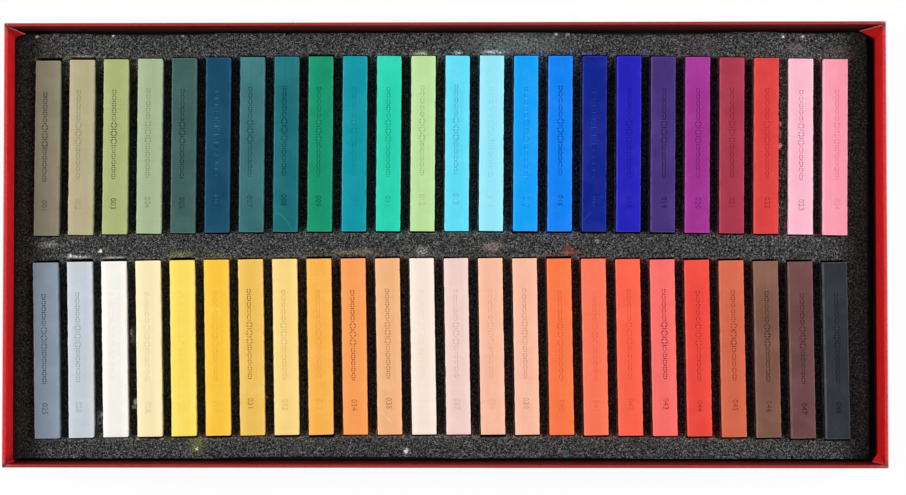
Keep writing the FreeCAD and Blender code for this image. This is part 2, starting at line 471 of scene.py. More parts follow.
@dataclass(frozen=True)
class FoamFinish:
    """Open-cell foam: black pits, grey cell walls, chalk dust that came off the sticks and painted shade."""

    name: str = "black_open_cell_foam"
    pit: Shade = (12, 12, 13)
    wall: Shade = (84, 84, 84)
    glint: Shade = (156, 155, 152)
    # With the pits, the colour of the painted shade in the sunken strips and end margins.
    deep: Shade = (34, 34, 33)
    gloss: float = 0.12
    grain: float = 0.67 * MM
    patch: float = 14.0 * MM
    powder: float = 0.7 * MM
    hollow: float = 0.35 * MM

    def material(self) -> Material:
        """Make the foam's material.

        Returns:
            A material that reads the attributes dust and pressed where a piece has them.
        """
        b = NodeBench(self.name, self.gloss)
        grain = b.noise(self.grain, 2.0, 0.62, twist=0.9)
        strand = b.math("ABSOLUTE", b.math("SUBTRACT", b.noise(self.grain * 1.25, 1.0, twist=0.6), 0.5))
        patch = b.spread(b.noise(self.patch), 0.35, 0.65, 0.55, 0.68)
        b.body = b.blend(b.spread(grain, 0.36, 0.66), self.pit, self.wall)
        b.coat(b.spread(b.cells(self.grain * 1.1), 0.62, 0.30, 0.6, 0.0), self.pit)
        b.coat(b.times(b.spread(strand, 0.05, 0.015), b.spread(grain, 0.42, 0.58), patch), self.glint)
        # Painted shade: darker in the sunken strips and on the end margins.
        b.coat(b.attribute("painted_foam_shade"), b.blend(b.spread(grain, 0.45, 0.7), self.pit, self.deep))
        powder = b.spread(b.noise(self.powder, 3.0, 0.7), 0.38, 0.64)
        b.coat(b.times(b.attribute("dust", "Alpha"), powder), b.attribute("dust", "Color"))
        b.relief(grain, self.hollow, 0.9)
        return b.done(b.spread(grain, 0.3, 0.7, 0.98, 0.85))


@dataclass(frozen=True)
class PastelFinish:
    """Matt chalk from a press: a slightly streaked body, paler edges from wear and painted highlight.

    A scratch is where it starts and ends across the stick, its height along the stick, its
    slope and its bow, in millimetres. In a pair of strengths that depends on the stick's
    lightness, the second is the fall, or the rise, from black to white.
    """

    tone: Tone
    centre: Vector
    lean: float
    half_width: float
    half_length: float
    seed: int
    scratch: Scratch | None = None
    gloss: float = 0.12
    cloud: float = 7.0 * MM
    mottle: float = 11.0 * MM
    powder: float = 0.45 * MM
    speck: float = 0.9 * MM
    rub: float = 4.0 * MM
    fill: float = 5.0 * MM
    streak: tuple[float, float, float] = (0.9 * MM, 26 * MM, 2 * MM)
    streak_most: tuple[float, float] = (0.34, 0.26)
    band: tuple[float, float, float] = (30 * MM, 1.3 * MM, 30 * MM)
    band_most: tuple[float, float] = (0.20, 0.17)
    darker: float = 0.80
    paler: tuple[float, float] = (0.30, 0.55)
    pale_rise: tuple[float, float] = (0.28, 0.72)
    veil: tuple[float, float] = (0.20, 0.10)
    # Wear with a painted highlight along the long edges, the left one more, and at the ends.
    side_rubs: tuple[float, float] = (0.85, 0.50)
    end_rub: float = 0.6

    def _lumps(self, b: NodeBench, sizes: Iterable[float], detail: float, rough: float) -> Socket:
        """Add a cloudy pattern with lumps of three sizes, one along each of the stick's own axes."""
        place = b.turned(self.centre, self.lean, tuple(1 / size for size in sizes))
        return b.noise(1.0, detail, rough, place)

    def material(self) -> Material:
        """Make the chalk's material.

        Returns:
            A material for this one stick, patterned about the stick's own centre.
        """
        b = NodeBench(f"chalk_{self.seed:02d}_{self.tone.name}", self.gloss)
        own = linear(self.tone.shade)
        light = sum(own[:3]) / 3
        least, rise = self.pale_rise
        pale = lifted(own, self.paler[light >= 0.5] * (least + rise * light))
        shade = dimmed(own, self.darker)
        x, y, _ = b.axes(b.turned(self.centre, self.lean))
        across = b.math("DIVIDE", b.math("ABSOLUTE", x), self.half_width)
        cloud = b.noise(self.cloud, 3.0, 0.55)
        powder = b.noise(self.powder, 2.0, 0.6)
        streak = self._lumps(b, self.streak, 3.0, 0.55)
        band = self._lumps(b, self.band, 2.0, 0.5)
        core = 0.25 + 0.2 * random.Random(self.seed).random()
        b.body = b.blend(b.spread(across, core, 0.85, 0.5, 0.0), own, shade)
        self._mottle(b, light, shade, pale)
        if self.tone.tip:
            end = b.spread(y, 0.52 * self.half_length, 0.86 * self.half_length, 0.0, self.tone.tip)
            b.coat(b.times(end, b.spread(cloud, 0.3, 0.55, 0.6, 1.0)), lifted(own, 0.12, 0.08))
        for lines, start, (most, less) in ((streak, 0.42, self.streak_most), (band, 0.50, self.band_most)):
            b.coat(b.spread(lines, start, 0.72, 0.0, most - less * light), shade)
        veil = 0.3 + 0.7 * min(1.0, 2.0 * light)
        for dust, start, most in zip((cloud, powder), (0.45, 0.52), self.veil):
            b.coat(b.spread(dust, start, 0.72, 0.0, most * veil), pale)
        speck = b.times(b.spread(b.noise(self.speck, 2.0, 0.7), 0.60, 0.70), b.spread(cloud, 0.42, 0.66))
        b.coat(b.times(speck, self.tone.dusty), pale)
        self._rub(b, x, y, pale)
        self._fill(b, own, light)
        if self.scratch:
            self._scrape(b, x, y, pale)
        b.relief(powder, 0.04 * MM, 0.5)
        b.relief(streak, 0.05 * MM, 0.35)
        return b.done(b.spread(cloud, 0.3, 0.7, 0.72, 0.88))

    def _mottle(self, b: NodeBench, light: float, shade: Colour, pale: Colour) -> None:
        """Cloud the body of a dark stick, the darker it is the more.

        Args:
            b: The material's bench.
            light: How light the stick's own colour is, 0 to 1.
            shade: Its darker colour.
            pale: Its paler colour.
        """
        mottle = b.noise(self.mottle, 2.5, 0.55, twist=0.4)
        uneven = 0.9 * max(0.0, 1.0 - 2.2 * light)
        b.coat(b.spread(mottle, 0.34, 0.50, uneven, 0.0), shade)
        b.coat(b.spread(mottle, 0.50, 0.66, 0.0, 0.25 * uneven * min(1.0, 12.0 * light)), pale)

    def _rub(self, b: NodeBench, x: Socket, y: Socket, pale: Colour) -> None:
        """Paint the long edges pale, the left one more, and the ends a little: wear and painted highlight.

        Args:
            b: The material's bench.
            x: The place across the stick.
            y: The place along it.
            pale: Its paler colour.
        """
        across = b.math("DIVIDE", b.math("ABSOLUTE", x), self.half_width)
        along = b.math("DIVIDE", b.math("ABSOLUTE", y), self.half_length)
        rub = b.spread(b.noise(self.rub, 3.0, 0.6), 0.25, 0.6, 0.35, 1.0)
        left = b.spread(x, -0.30 * self.half_width, 0.30 * self.half_width, *self.side_rubs)
        side = b.times(b.spread(across, 0.86, 0.93), left, rub)
        tip = b.times(b.spread(along, 0.984, 0.994, 0.0, self.end_rub), rub)
        # Wear with a painted highlight along the long edges and at the ends.
        b.coat(b.math("MAXIMUM", side, tip), pale)

    def _fill(self, b: NodeBench, own: Colour, light: float) -> None:
        """Colour the bottom of the stamp: darker as painted shade in the recess, pale where dust fills it.

        Args:
            b: The material's bench.
            own: The stick's own colour.
            light: How light the stick's own colour is, 0 to 1.
        """
        strength = abs(self.tone.stamp)
        # Painted shade in the recess darkens the stamp's bottom; below 0, pale chalk dust fills it instead.
        sunk = dimmed(own, 0.46 - 0.24 * strength)
        if self.tone.stamp < 0:
            sunk = lifted(own, 0.34 + 0.7 * light, 0.12)
        faint = b.spread(b.noise(self.fill, 1.0), 0.40, 0.56, 0.45, 1.0)
        b.coat(b.times(b.attribute("well"), faint, strength), sunk)

    def _scrape(self, b: NodeBench, x: Socket, y: Socket, pale: Colour) -> None:
        """Draw the scratch, a thin pale line that bends.

        Args:
            b: The material's bench.
            x: The place across the stick.
            y: The place along it.
            pale: Its paler colour.
        """
        first, last, rise, slope, bow = self.scratch
        bend = b.times(x, x, bow / MM)
        line = b.math("ADD", b.math("ADD", b.times(x, slope), bend), rise * MM)
        off = b.spread(b.math("ABSOLUTE", b.math("SUBTRACT", y, line)), 0.10 * MM, 0.34 * MM, 0.60, 0.0)
        inside = b.times(b.math("GREATER_THAN", x, first * MM), b.math("LESS_THAN", x, last * MM))
        b.coat(b.times(off, inside), pale)


class Bench:
    """Edit mode on one mesh, as a with block, with selection by place."""

    def __init__(self, piece: Piece) -> None:
        """Hold the piece that is worked on."""
        self.piece = piece

    def __enter__(self) -> "Bench":
        """Select the piece alone and go into edit mode with nothing selected."""
        alone(self.piece)
        bpy.ops.object.mode_set(mode="EDIT")
        bpy.ops.mesh.select_all(action="DESELECT")
        return self

    def __exit__(self, *_: object) -> None:
        """Leave edit mode."""
        bpy.ops.object.mode_set(mode="OBJECT")

    def _select(self, kind: str, rule: Callable[[Vector, object], bool]) -> None:
        """Select the faces or edges whose middle and element the rule accepts, and nothing else.

        Args:
            kind: FACE or EDGE.
            rule: Takes an element's middle and the element.
        """
        mesh = bmesh.from_edit_mesh(self.piece.data)
        bpy.ops.mesh.select_mode(type=kind)
        bpy.ops.mesh.select_all(action="DESELECT")
        faces = kind == "FACE"
        for part in mesh.faces if faces else mesh.edges:
            middle = part.calc_center_median() if faces else (part.verts[0].co + part.verts[1].co) / 2
            if rule(middle, part):
                part.select_set(True)
        bmesh.update_edit_mesh(self.piece.data)

    def faces(self, rule: Callable[[Vector, bmesh.types.BMFace], bool]) -> None:
        """Select faces by their middle."""
        self._select("FACE", rule)

    def edges(self, rule: Callable[[Vector, bmesh.types.BMEdge], bool]) -> None:
        """Select edges by their middle."""
        self._select("EDGE", rule)

    def rim(self, rule: Callable[[Vector], bool] = lambda middle: True) -> None:
        """Select open edges by their middle."""
        self._select("EDGE", lambda middle, e: e.is_boundary and rule(middle))


def alone(piece: Piece) -> None:
    """Make the piece the only selected object, and the active one."""
    bpy.ops.object.select_all(action="DESELECT")
    piece.select_set(True)
    bpy.context.view_layer.objects.active = piece


def named(name: str) -> Piece:
    """Give the active object, and its mesh, a plain name and return the object.

    Args:
        name: The new name.

    Returns:
        The active object.
    """
    piece = bpy.context.object
    piece.name = name
    piece.data.name = name
    return piece


def seated(piece: Piece) -> Piece:
    """Put the piece's place into its mesh, so that its object sits at the origin."""
    alone(piece)
    bpy.ops.object.transform_apply(location=True, rotation=True, scale=True)
    return piece


def block(name: str, low: Vector, high: Vector) -> Piece:
    """Add a box between two corners.

    Args:
        name: The new piece's name.
        low: The lowest corner.
        high: The highest corner.

    Returns:
        The box, with its place in its mesh.
    """
    bpy.ops.object.select_all(action="DESELECT")
    size = high - low
    bpy.ops.mesh.primitive_cube_add(size=1.0, location=(low + high) / 2, scale=size)
    return seated(named(name))


def modified(piece: Piece, kind: str, **settings: object) -> Piece:
    """Add a modifier, set it and apply it.

    Args:
        piece: The piece that is changed.
        kind: The modifier's type.
        **settings: The modifier's settings.

    Returns:
        The piece.
    """
    alone(piece)
    modifier = piece.modifiers.new(kind.lower(), kind)
    for key, value in settings.items():
        setattr(modifier, key, value)
    bpy.ops.object.modifier_apply(modifier=modifier.name)
    return piece


def clouds(name: str, size: float, depth: int = 2) -> bpy.types.Texture:
    """Make a cloud pattern that pushes vertices about.

    Args:
        name: The pattern's name.
        size: The size of its lumps, in metres.
        depth: How many finer layers it has.

    Returns:
        The pattern.
    """
    texture = bpy.data.textures.new(name, "CLOUDS")
    texture.noise_scale = size
    texture.noise_depth = depth
    return texture


def rugged(
    piece: Piece, texture: bpy.types.Texture, strength: float, level: float, group: str = ""
) -> Piece:
    """Push a piece's vertices along their normals by a cloud pattern.

    Args:
        piece: The piece that is changed.
        texture: The pattern.
        strength: The full height of the pattern, in metres.
        level: The pattern's value that moves nothing.
        group: The vertex group that limits the push.

    Returns:
        The piece.
    """
    where = {"vertex_group": group, "texture_coords": "LOCAL", "direction": "NORMAL"}
    return modified(piece, "DISPLACE", texture=texture, strength=strength, mid_level=level, **where)


def member(piece: Piece, name: str, chosen: np.ndarray) -> None:
    """Put the chosen vertices of a piece into a new vertex group."""
    piece.vertex_groups.new(name=name).add(np.flatnonzero(chosen).tolist(), 1.0, "REPLACE")


def fade(gap: np.ndarray, reach: float, start: float = 1.0) -> np.ndarray:
    """Fall from a start at no gap by 1 for each reach, and keep within 0 and 1."""
    return np.clip(start - gap / reach, 0.0, 1.0)


def points(piece: Piece) -> np.ndarray:
    """Return the places of a piece's vertices, one row each."""
    co = np.empty(len(piece.data.vertices) * 3)
    piece.data.vertices.foreach_get("co", co)
    return co.reshape(-1, 3)


def move_points(piece: Piece, places: np.ndarray) -> None:
    """Put a piece's vertices at new places."""
    piece.data.vertices.foreach_set("co", places.ravel())
    piece.data.update()


def paint(piece: Piece, name: str, values: np.ndarray) -> None:
    """Paint a value, or a colour with alpha, on a piece's vertices.

    Args:
        piece: The piece that is painted.
        name: The attribute's name.
        values: One value, or one row of four, for each vertex.
    """
    if values.ndim == 1:
        layer = piece.data.attributes.new(name, "FLOAT", "POINT")
        layer.data.foreach_set("value", values.astype(np.float32))
    else:
        layer = piece.data.attributes.new(name, "FLOAT_COLOR", "POINT")
        layer.data.foreach_set("color", values.astype(np.float32).ravel())


def joined(pieces: list[Piece]) -> Piece:
    """Join pieces into the first of them, and leave it alone selected.

    Args:
        pieces: The pieces.

    Returns:
        The one piece that is left.
    """
    alone(pieces[0])
    for piece in pieces[1:]:
        piece.select_set(True)
    bpy.ops.object.join()
    return bpy.context.object


def copied(piece: Piece) -> Piece:
    """Return a copy of a piece, with a mesh of its own.

    Args:
        piece: What is copied.

    Returns:
        The copy.
    """
    twin = piece.copy()
    twin.data = piece.data.copy()
    bpy.context.scene.collection.objects.link(twin)
    return twin


def whole(piece: Piece, steep: float = -0.05, speck: float = 0.02 * MM * MM) -> bool:
    """Tell whether a stamped piece came out sound.

    Args:
        piece: The piece, about the origin.
        steep: A face whose normal's z lies below this looks down.
        speck: The area of such faces in the upper half that doesn't matter.

    Returns:
        True where the piece has no hole, and no face in its upper half looks down.
    """
    mesh = bmesh.new()
    mesh.from_mesh(piece.data)
    closed = bool(mesh.faces) and all(e.is_manifold for e in mesh.edges)
    flipped = sum(f.calc_area() for f in mesh.faces if f.normal.z < steep and f.calc_center_median().z > 0.0)
    mesh.free()
    return closed and flipped < speck


def dress(piece: Piece, material: Material) -> None:
    """Give every face of a piece one material, and report the piece.

    Args:
        piece: The piece.
        material: Its material.
    """
    piece.data.materials.clear()
    piece.data.materials.append(material)
    log.info("%s: %s, %d faces", piece.name, material.name, len(piece.data.polygons))


@dataclass
class Tray:
    """The rigid box: greyboard, its corner tapes, the red wrap and the sheet beneath."""

    paper: Material
    board: Material
    tape: Material
    skin: float = 0.15 * MM
    wall: float = 1.30 * MM
    fold: float = 0.40 * MM
    turn_in: float = 14.0 * MM
    turn_under: float = 12.0 * MM
    puff: float = 0.04 * MM
    foam_top: float = 11.6 * MM
    cut_line: float = 0.20 * MM
    web_drop: float = 0.5 * MM
    web_rise: float = 0.30 * MM
    web_bite: float = 0.05 * MM
    web_fray: float = 0.4 * MM
    rim_band: tuple[float, float] = (0.9 * MM, 0.6 * MM)
    rub: float = 0.5 * MM
    corner_reach: float = 5.0 * MM
    post_reach: float = 1.2 * MM
    nick_reach: float = 1.6 * MM
    # Rubbing and a painted sheen on the rims, most at the right end; rubbing at the corners and the bottom
    # fold.
    rim_rub: float = 0.08
    end_rubs: tuple[float, float] = (0.85, 0.32)
    corner_rub: float = 0.6
    post_rub: float = 0.45
    foot_rub: float = 0.3
    # Painted shade: the long rims are painted darker.
    rim_dull: float = 0.9
    # Painted shade on the inner walls: darker towards the foam, the end walls only below it.
    inside_from: float = 2.0 * MM
    inside_slack: float = 0.1 * MM
    long_slack: float = 0.3 * MM
    far_dim: float = 0.64
    near_dim: tuple[float, float] = (0.68, 0.2)
    end_dim: tuple[float, float] = (2.0, 1.45)
    most_dim: float = 0.92
    # A brownish dust tint laid with painted shade low on the far inner wall.
    far_dust: tuple[float, float, float] = (2.0, 0.1, 0.65)
    # Painted shade on the board's inside.
    board_unshaded: tuple[float, float] = (0.6 * MM, 0.8 * MM)
    board_dim: float = 0.9
    puff_size: float = 16 * MM
    flat_angle: float = math.radians(35)
    waves: tuple[tuple[int, float, int], ...] = ((0, 50 * MM, 95), (1, 50 * MM, 47), (2, 8 * MM, 11))
    gussets: dict[tuple[int, int], tuple[tuple[float, float], tuple[float, float], float]] = field(
        default_factory=lambda: {
            (-1, 1): ((4.3 * MM, 1.5 * MM), (0.02 * MM, 2.6 * MM), 0.60),
            (1, 1): ((6.3 * MM, 0.9 * MM), (0.02 * MM, 4.2 * MM), 0.50),
            (-1, -1): ((1.0 * MM, 0.02 * MM), (0.02 * MM, 0.8 * MM), 0.05),
            (1, -1): ((2.6 * MM, 0.02 * MM), (0.02 * MM, 4.2 * MM), 0.12),
        }
    )

    def build_wrap(self) -> Piece:
        """Fold the wrap over the walls: outside, over the rim, down inside and under.

        Returns:
            The wrap, as a thin closed shell.
        """
        low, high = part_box("side_wrap")
        low = low + Vector((self.puff, self.puff, 0.0))
        high = high - Vector((self.puff, self.puff, self.puff))
        wrap = block("red_wrap", low, high)
        half_x, half_y = high.x, high.y
        rim = self.wall - self.puff
        with Bench(wrap) as bench:
            bench.faces(lambda middle, f: abs(f.normal.z) > 0.5)
            bpy.ops.mesh.delete(type="ONLY_FACE")
            bench.rim(lambda middle: middle.z > high.z - self.skin)
            bpy.ops.mesh.extrude_edges_move()
            shrink = ((half_x - rim) / half_x, (half_y - rim) / half_y, 1.0)
            bpy.ops.transform.resize(value=shrink, center_override=(0.0, 0.0, 0.0))
            bpy.ops.mesh.extrude_edges_move(TRANSFORM_OT_translate={"value": (0.0, 0.0, -self.turn_in)})
            bench.rim(lambda middle: middle.z < low.z + self.skin)
            bpy.ops.mesh.extrude_edges_move()
            shrink = ((half_x - self.turn_under) / half_x, (half_y - self.turn_under) / half_y, 1.0)
            bpy.ops.transform.resize(value=shrink, center_override=(0.0, 0.0, 0.0))
            self._round_folds(bench, half_x, half_y, low.z, high.z)
            self._divide(bench)
        return wrap

    def _round_folds(self, bench: Bench, half_x: float, half_y: float, low: float, high: float) -> None:
        """Round the outer corners, both edges of the rim and the fold at the bottom.

        Args:
            bench: The mesh, in edit mode.
            half_x: Half the wrap's length.
            half_y: Half its width.
            low: Its underside.
            high: Its rim.
        """

        def folded(middle: Vector, edge: bmesh.types.BMEdge) -> bool:
            """Tell whether the wrap is folded at an edge.

            Args:
                middle: The edge's middle.
                edge: The edge.

            Returns:
                True where it is.
            """
            run = (edge.verts[0].co - edge.verts[1].co).normalized()
            outside = abs(middle.x) > half_x - self.skin or abs(middle.y) > half_y - self.skin
            upright = abs(run.z) > 0.9 and abs(middle.x) > half_x - self.skin
            level = abs(run.z) < 0.1 and (abs(run.x) > 0.99 or abs(run.y) > 0.99)
            top, bottom = middle.z > high - self.skin, middle.z < low + self.skin
            return upright or level and (top or bottom and outside)

        bench.edges(folded)
        bpy.ops.mesh.bevel(offset=self.fold, segments=3, profile=0.5, affect="EDGES")

    def _divide(self, bench: Bench) -> None:
        """Cut the long sides and the walls so that they can wave a little and carry wear.

        Args:
            bench: The mesh, in edit mode.
        """
        for axis, shortest, cuts in self.waves:
            bench.edges(
                lambda middle, e: abs(e.verts[0].co[axis] - e.verts[1].co[axis]) > shortest
                and abs((e.verts[0].co - e.verts[1].co).normalized()[axis]) > 0.99
            )
            bpy.ops.mesh.subdivide(number_cuts=cuts)

    def build_gussets(self) -> list[Piece]:
        """Fold the paper web that closes each inner corner, wider towards the foam.

        Returns:
            One thin closed piece for each corner.
        """
        _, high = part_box("side_wrap")
        made = []
        inner = Vector((high.x - self.wall, high.y - self.wall, 0.0))
        shelf = self.foam_top + self.web_rise
        for (side, end), ((a_in, a_down), (b_in, b_down), pale) in self.gussets.items():
            corner = Vector((side * inner.x, end * inner.y, high.z - self.web_drop))
            bpy.ops.mesh.primitive_plane_add(size=1.0, location=(0.0, 0.0, 0.0))
            web = named(f"corner_gusset_{'far' if end > 0 else 'near'}_{'right' if side > 0 else 'left'}")
            a = Vector((corner.x - side * a_in, corner.y - end * a_down, shelf))
            b = Vector((corner.x - side * b_in, corner.y - end * b_down, shelf))
            post = corner - Vector((side * self.web_bite, end * self.web_bite, 0.0))
            beside = post + Vector((-side * self.cut_line, 0.0, 0.0))
            for v, spot in zip(web.data.vertices, (post, beside, b, a)):
                v.co = spot
            modified(web, "SUBSURF", subdivision_type="SIMPLE", levels=3, render_levels=3)
            places = points(web)
            line = np.array(a - beside)
            line /= np.linalg.norm(line)
            off = places - np.array(beside)
            gap = np.linalg.norm(off - np.outer(off @ line, line), axis=1)
            paint(web, "edge", fade(gap, self.web_fray, 1.5) * pale)
            made.append(modified(web, "SOLIDIFY", thickness=self.skin, offset=0.0))
        return made

    def wear(self, wrap: Piece) -> None:
        """Paint where the wrap is worn and nicked, its painted sheen on the rims and its painted shade.

        Args:
            wrap: The wrap, before its gussets join it.
        """
        low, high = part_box("side_wrap")
        co = points(wrap)
        x, y, z = np.abs(co[:, 0]), np.abs(co[:, 1]), co[:, 2]
        # Rubbing and a painted sheen on the rims; rubbing at the corners and along the bottom fold.
        depth, blur = self.rim_band
        rim = np.clip((z - (high.z - depth)) / blur, 0.0, 1.0)
        end = fade(high.x - x, self.rub) * rim * np.where(co[:, 0] > 0, *self.end_rubs)
        away = np.hypot(high.x - x, high.y - y)
        corner, post = fade(away, self.corner_reach), fade(away, self.post_reach)
        foot = fade(np.abs(z - low.z), self.rub)
        worn = self.rim_rub * rim + end + self.corner_rub * corner * rim
        worn = worn + self.post_rub * post + self.foot_rub * foot
        paint(wrap, "fold", np.clip(worn, 0.0, 1.0))
        paint(wrap, "nicked", fade(away, self.nick_reach, 1.6) * rim)
        # Painted shade on the inner walls: the long walls darker towards the foam, the end walls only below
        # it.
        inner_x, inner_y = (half - self.wall + self.inside_slack for half in (high.x, high.y))
        within = (x < inner_x) & (y < inner_y) & (z > self.inside_from)
        long_side = high.y - y < self.wall + self.long_slack
        far_side = long_side & (co[:, 1] > 0)
        drop = (high.z - z) / (high.z - self.foam_top)
        (least, more), (steep, start) = self.near_dim, self.end_dim
        sides = np.where(far_side, self.far_dim, least + more * drop)
        dim = np.where(long_side, sides, steep * (drop - start))
        paint(wrap, "painted_shade", np.clip(dim, 0.0, self.most_dim) * within)
        # A brownish dust tint laid with painted shade low on the far inner wall.
        steep, start, most = self.far_dust
        paint(wrap, "dust_and_shade", np.clip(steep * (drop - start), 0.0, most) * (within & far_side))
        # Painted shade: the long rims are painted darker.
        paint(wrap, "rim_shade", self.rim_dull * rim * long_side)

    def shade_board(self, board: Piece) -> None:
        """Paint the board's inside dark, as painted shade in the deep gaps round the foam.

        Args:
            board: The greyboard tray.
        """
        co = points(board)
        x, y = np.abs(co[:, :2]).T
        aside, up = self.board_unshaded
        inside = (x < x.max() - aside) & (y < y.max() - aside) & (co[:, 2] > up)
        paint(board, "painted_shade", inside.astype(float) * self.board_dim)

    def dress(self) -> None:
        """Make the wrap, hand it its finish and finish the board, tapes and base sheet."""
        wrap = self.build_wrap()
        rugged(wrap, clouds("paper_puff", self.puff_size), self.puff, 0.0)
        modified(wrap, "SOLIDIFY", thickness=self.skin, offset=-1.0, use_even_offset=True)
        self.wear(wrap)
        joined([wrap, *self.build_gussets()])
        bpy.ops.object.shade_smooth_by_angle(angle=self.flat_angle)
        dress(wrap, self.paper)
        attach(wrap, "tray")
        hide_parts("side_wrap")
        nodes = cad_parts
        self.shade_board(nodes["tray_board"])
        dress(nodes["tray_board"], self.board)
        dress(nodes["base_sheet"], self.paper)
        for name, node in nodes.items():
            if name.startswith("corner_stay"):
                dress(node, self.tape)


@dataclass
class Nest:
    """One stick's place in the foam: its middle, its lean and its two half sizes."""

    row: Row
    number: int
    tone: Tone
    half_width: float = 4.55 * MM
    half_length: float = 32.5 * MM
    side_gap: float = 0.25 * MM
    end_gaps: tuple[float, float] = (0.50 * MM, 0.50 * MM)

    @property
    def node(self) -> str:
        """The stick's node in the part."""
        return f"pastel_{self.row.word}_{self.number:02d}_{self.tone.name}"

    @property
    def body(self) -> str:
        """The body that the stick moves with."""
        return f"stick_{self.row.word}_{self.number:02d}"

    @property
    def middle(self) -> Vector:
        """The middle of the stick."""
        low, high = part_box(self.node)
        return (low + high) / 2

    def corner(self, side: int, end: int) -> tuple[float, float]:
        """Return the x and y of a corner of the slot.

        Args:
            side: -1 for the left, 1 for the right.
            end: -1 for the near end, 1 for the far end.

        Returns:
            The corner's x and y.
        """
        x = side * (self.half_width + self.side_gap)
        y = end * (self.half_length + self.end_gaps[end > 0])
        c, s = math.cos(self.row.lean), math.sin(self.row.lean)
        return self.middle.x + x * c - y * s, self.middle.y + x * s + y * c


def all_nests() -> dict[Row, list[Nest]]:
    """Set out the nests of both rows, from left to right.

    The foam gives, so each stick has its own gap before it and behind it, set here in tenths
    of a millimetre.

    Returns:
        The nests of each row.
    """
    tones = {Row.FAR: FAR_TONES, Row.NEAR: NEAR_TONES}
    gaps = {
        Row.FAR: (
            (2, 3, 3, 3, 3, 4, 4, 4, 4, 4, 4, 5, 3, 4, 7, 6, 6, 5, 5, 4, 4, 4, 4, 4),
            (13, 12, 6, 5, 5, 5, 7, 5, 9, 5, 3, 4, 3, 3, 5, 5, 5, 5, 5, 5, 5, 4, 4, 3),
        ),
        Row.NEAR: (
            (4, 4, 4, 7, 7, 9, 5, 9, 11, 5, 5, 7, 5, 11, 7, 5, 7, 7, 5, 7, 7, 7, 7, 7),
            (8, 10, 8, 5, 9, 4, 5, 5, 8, 6, 6, 5, 5, 5, 5, 8, 5, 5, 6, 6, 6, 6, 6, 6),
        ),
    }
    return {
        row: [
            Nest(row, i + 1, tone, end_gaps=(near * 0.1 * MM, far * 0.1 * MM))
            for i, (tone, near, far) in enumerate(zip(tones[row], *gaps[row]))
        ]
        for row in Row
    }


CRUMBS: tuple[tuple[float, float, float, float, Shade, float], ...] = (
    (-135.2, -4.3, 4.4, 0.35, (238, 238, 238), 1.3),
    (-138.6, -4.0, 0.8, 0.8, (238, 238, 238), 1.1),
    (-122.2, -4.6, 4.4, 0.28, (200, 200, 198), 0.8),
    (-97.5, -3.4, 4.8, 1.0, (186, 180, 96), 0.5),
    (-84.7, -3.4, 4.5, 0.6, (180, 170, 90), 0.3),
    (-34.0, -2.8, 7.0, 0.8, (196, 182, 130), 0.4),
    (-29.0, -2.4, 2.5, 0.9, (206, 190, 155), 0.5),
    (-8.2, -2.2, 2.2, 1.6, (222, 208, 208), 0.55),
    (17.7, -0.6, 3.5, 1.8, (208, 180, 170), 0.5),
    (46.5, -2.6, 2.6, 0.9, (216, 72, 52), 0.7),
    (45.5, -0.8, 1.2, 1.2, (200, 64, 52), 0.4),
    (-147.1, 0.1, 3.4, 1.0, (196, 196, 196), 0.7),
    (-127.4, -2.2, 0.6, 0.5, (232, 232, 232), 2.6),
    (56.4, 1.4, 0.5, 0.5, (205, 210, 220), 2.4),
    (-17.1, 3.2, 0.4, 1.0, (150, 200, 190), 0.7),
    (-91.5, -73.2, 2.8, 3.4, (170, 176, 96), 0.45),
    (-91.3, -75.3, 0.7, 0.8, (224, 230, 176), 1.1),
    (-14.1, -76.0, 0.6, 0.9, (236, 236, 236), 2.6),
    (45.0, -77.8, 0.7, 0.5, (30, 150, 110), 1.2),
    (26.0, 74.6, 17.0, 4.2, (150, 164, 164), 0.42),
    (-8.6, 70.4, 2.6, 1.4, (220, 224, 194), 0.9),
    (5.1, 71.2, 1.5, 0.7, (196, 230, 234), 0.9),
    (18.5, 71.4, 4.6, 0.7, (210, 238, 243), 1.0),
    (-134.4, 69.8, 4.6, 0.6, (194, 190, 156), 1.0),
    (-149.3, 69.4, 2.6, 0.5, (156, 150, 114), 0.8),
    (35.9, 71.5, 0.6, 0.5, (60, 110, 220), 1.8),
    (46.9, 71.8, 1.0, 0.6, (60, 130, 230), 1.0),
    (54.0, 70.8, 2.4, 0.5, (60, 80, 200), 0.6),
    (74.3, 71.6, 1.4, 0.6, (100, 80, 190), 0.7),
    (130.3, 72.4, 3.0, 1.6, (196, 170, 180), 0.35),
    (146.0, 71.4, 4.4, 1.6, (190, 136, 150), 0.22),
    (94.6, 73.4, 6.0, 4.0, (112, 84, 112), 0.25),
    (-122.9, 77.6, 0.4, 0.4, (226, 226, 226), 2.4),
    (-96.9, 77.8, 0.4, 0.4, (226, 226, 226), 2.2),
    (-151.2, 77.4, 0.5, 0.4, (226, 226, 226), 2.4),
    (41.4, 77.9, 0.4, 0.4, (226, 226, 226), 2.2),
    (45.8, 77.8, 0.4, 0.4, (226, 226, 226), 2.2),
    (125.2, 76.8, 0.4, 0.4, (226, 226, 226), 2.4),
    (132.6, 76.8, 0.4, 0.4, (226, 226, 226), 2.0),
    (-127.7, -64.6, 1.3, 3.2, (160, 162, 168), 1.0),
    (-126.9, -62.6, 0.6, 0.8, (225, 227, 234), 2.6),
    (-114.6, -58.0, 0.6, 1.0, (230, 230, 224), 2.6),
    (-115.1, -60.0, 0.9, 0.6, (190, 190, 184), 1.6),
    (-115.9, -33.6, 1.2, 2.6, (160, 160, 154), 1.1),
    (-116.5, -32.2, 0.3, 0.9, (215, 215, 205), 2.2),
    (124.0, 44.5, 0.4, 0.6, (240, 196, 190), 2.4),
    (124.0, 36.4, 0.4, 0.8, (240, 214, 200), 2.6),
    (124.1, 40.6, 0.3, 1.6, (226, 120, 110), 1.4),
    (125.9, 6.9, 0.5, 0.7, (200, 90, 120), 1.6),
    (-66.0, -56.4, 0.6, 0.5, (230, 180, 140), 1.8),
)
"""Crumbs and smears of chalk on the foam: x, y and two half widths in mm, shade, strength."""


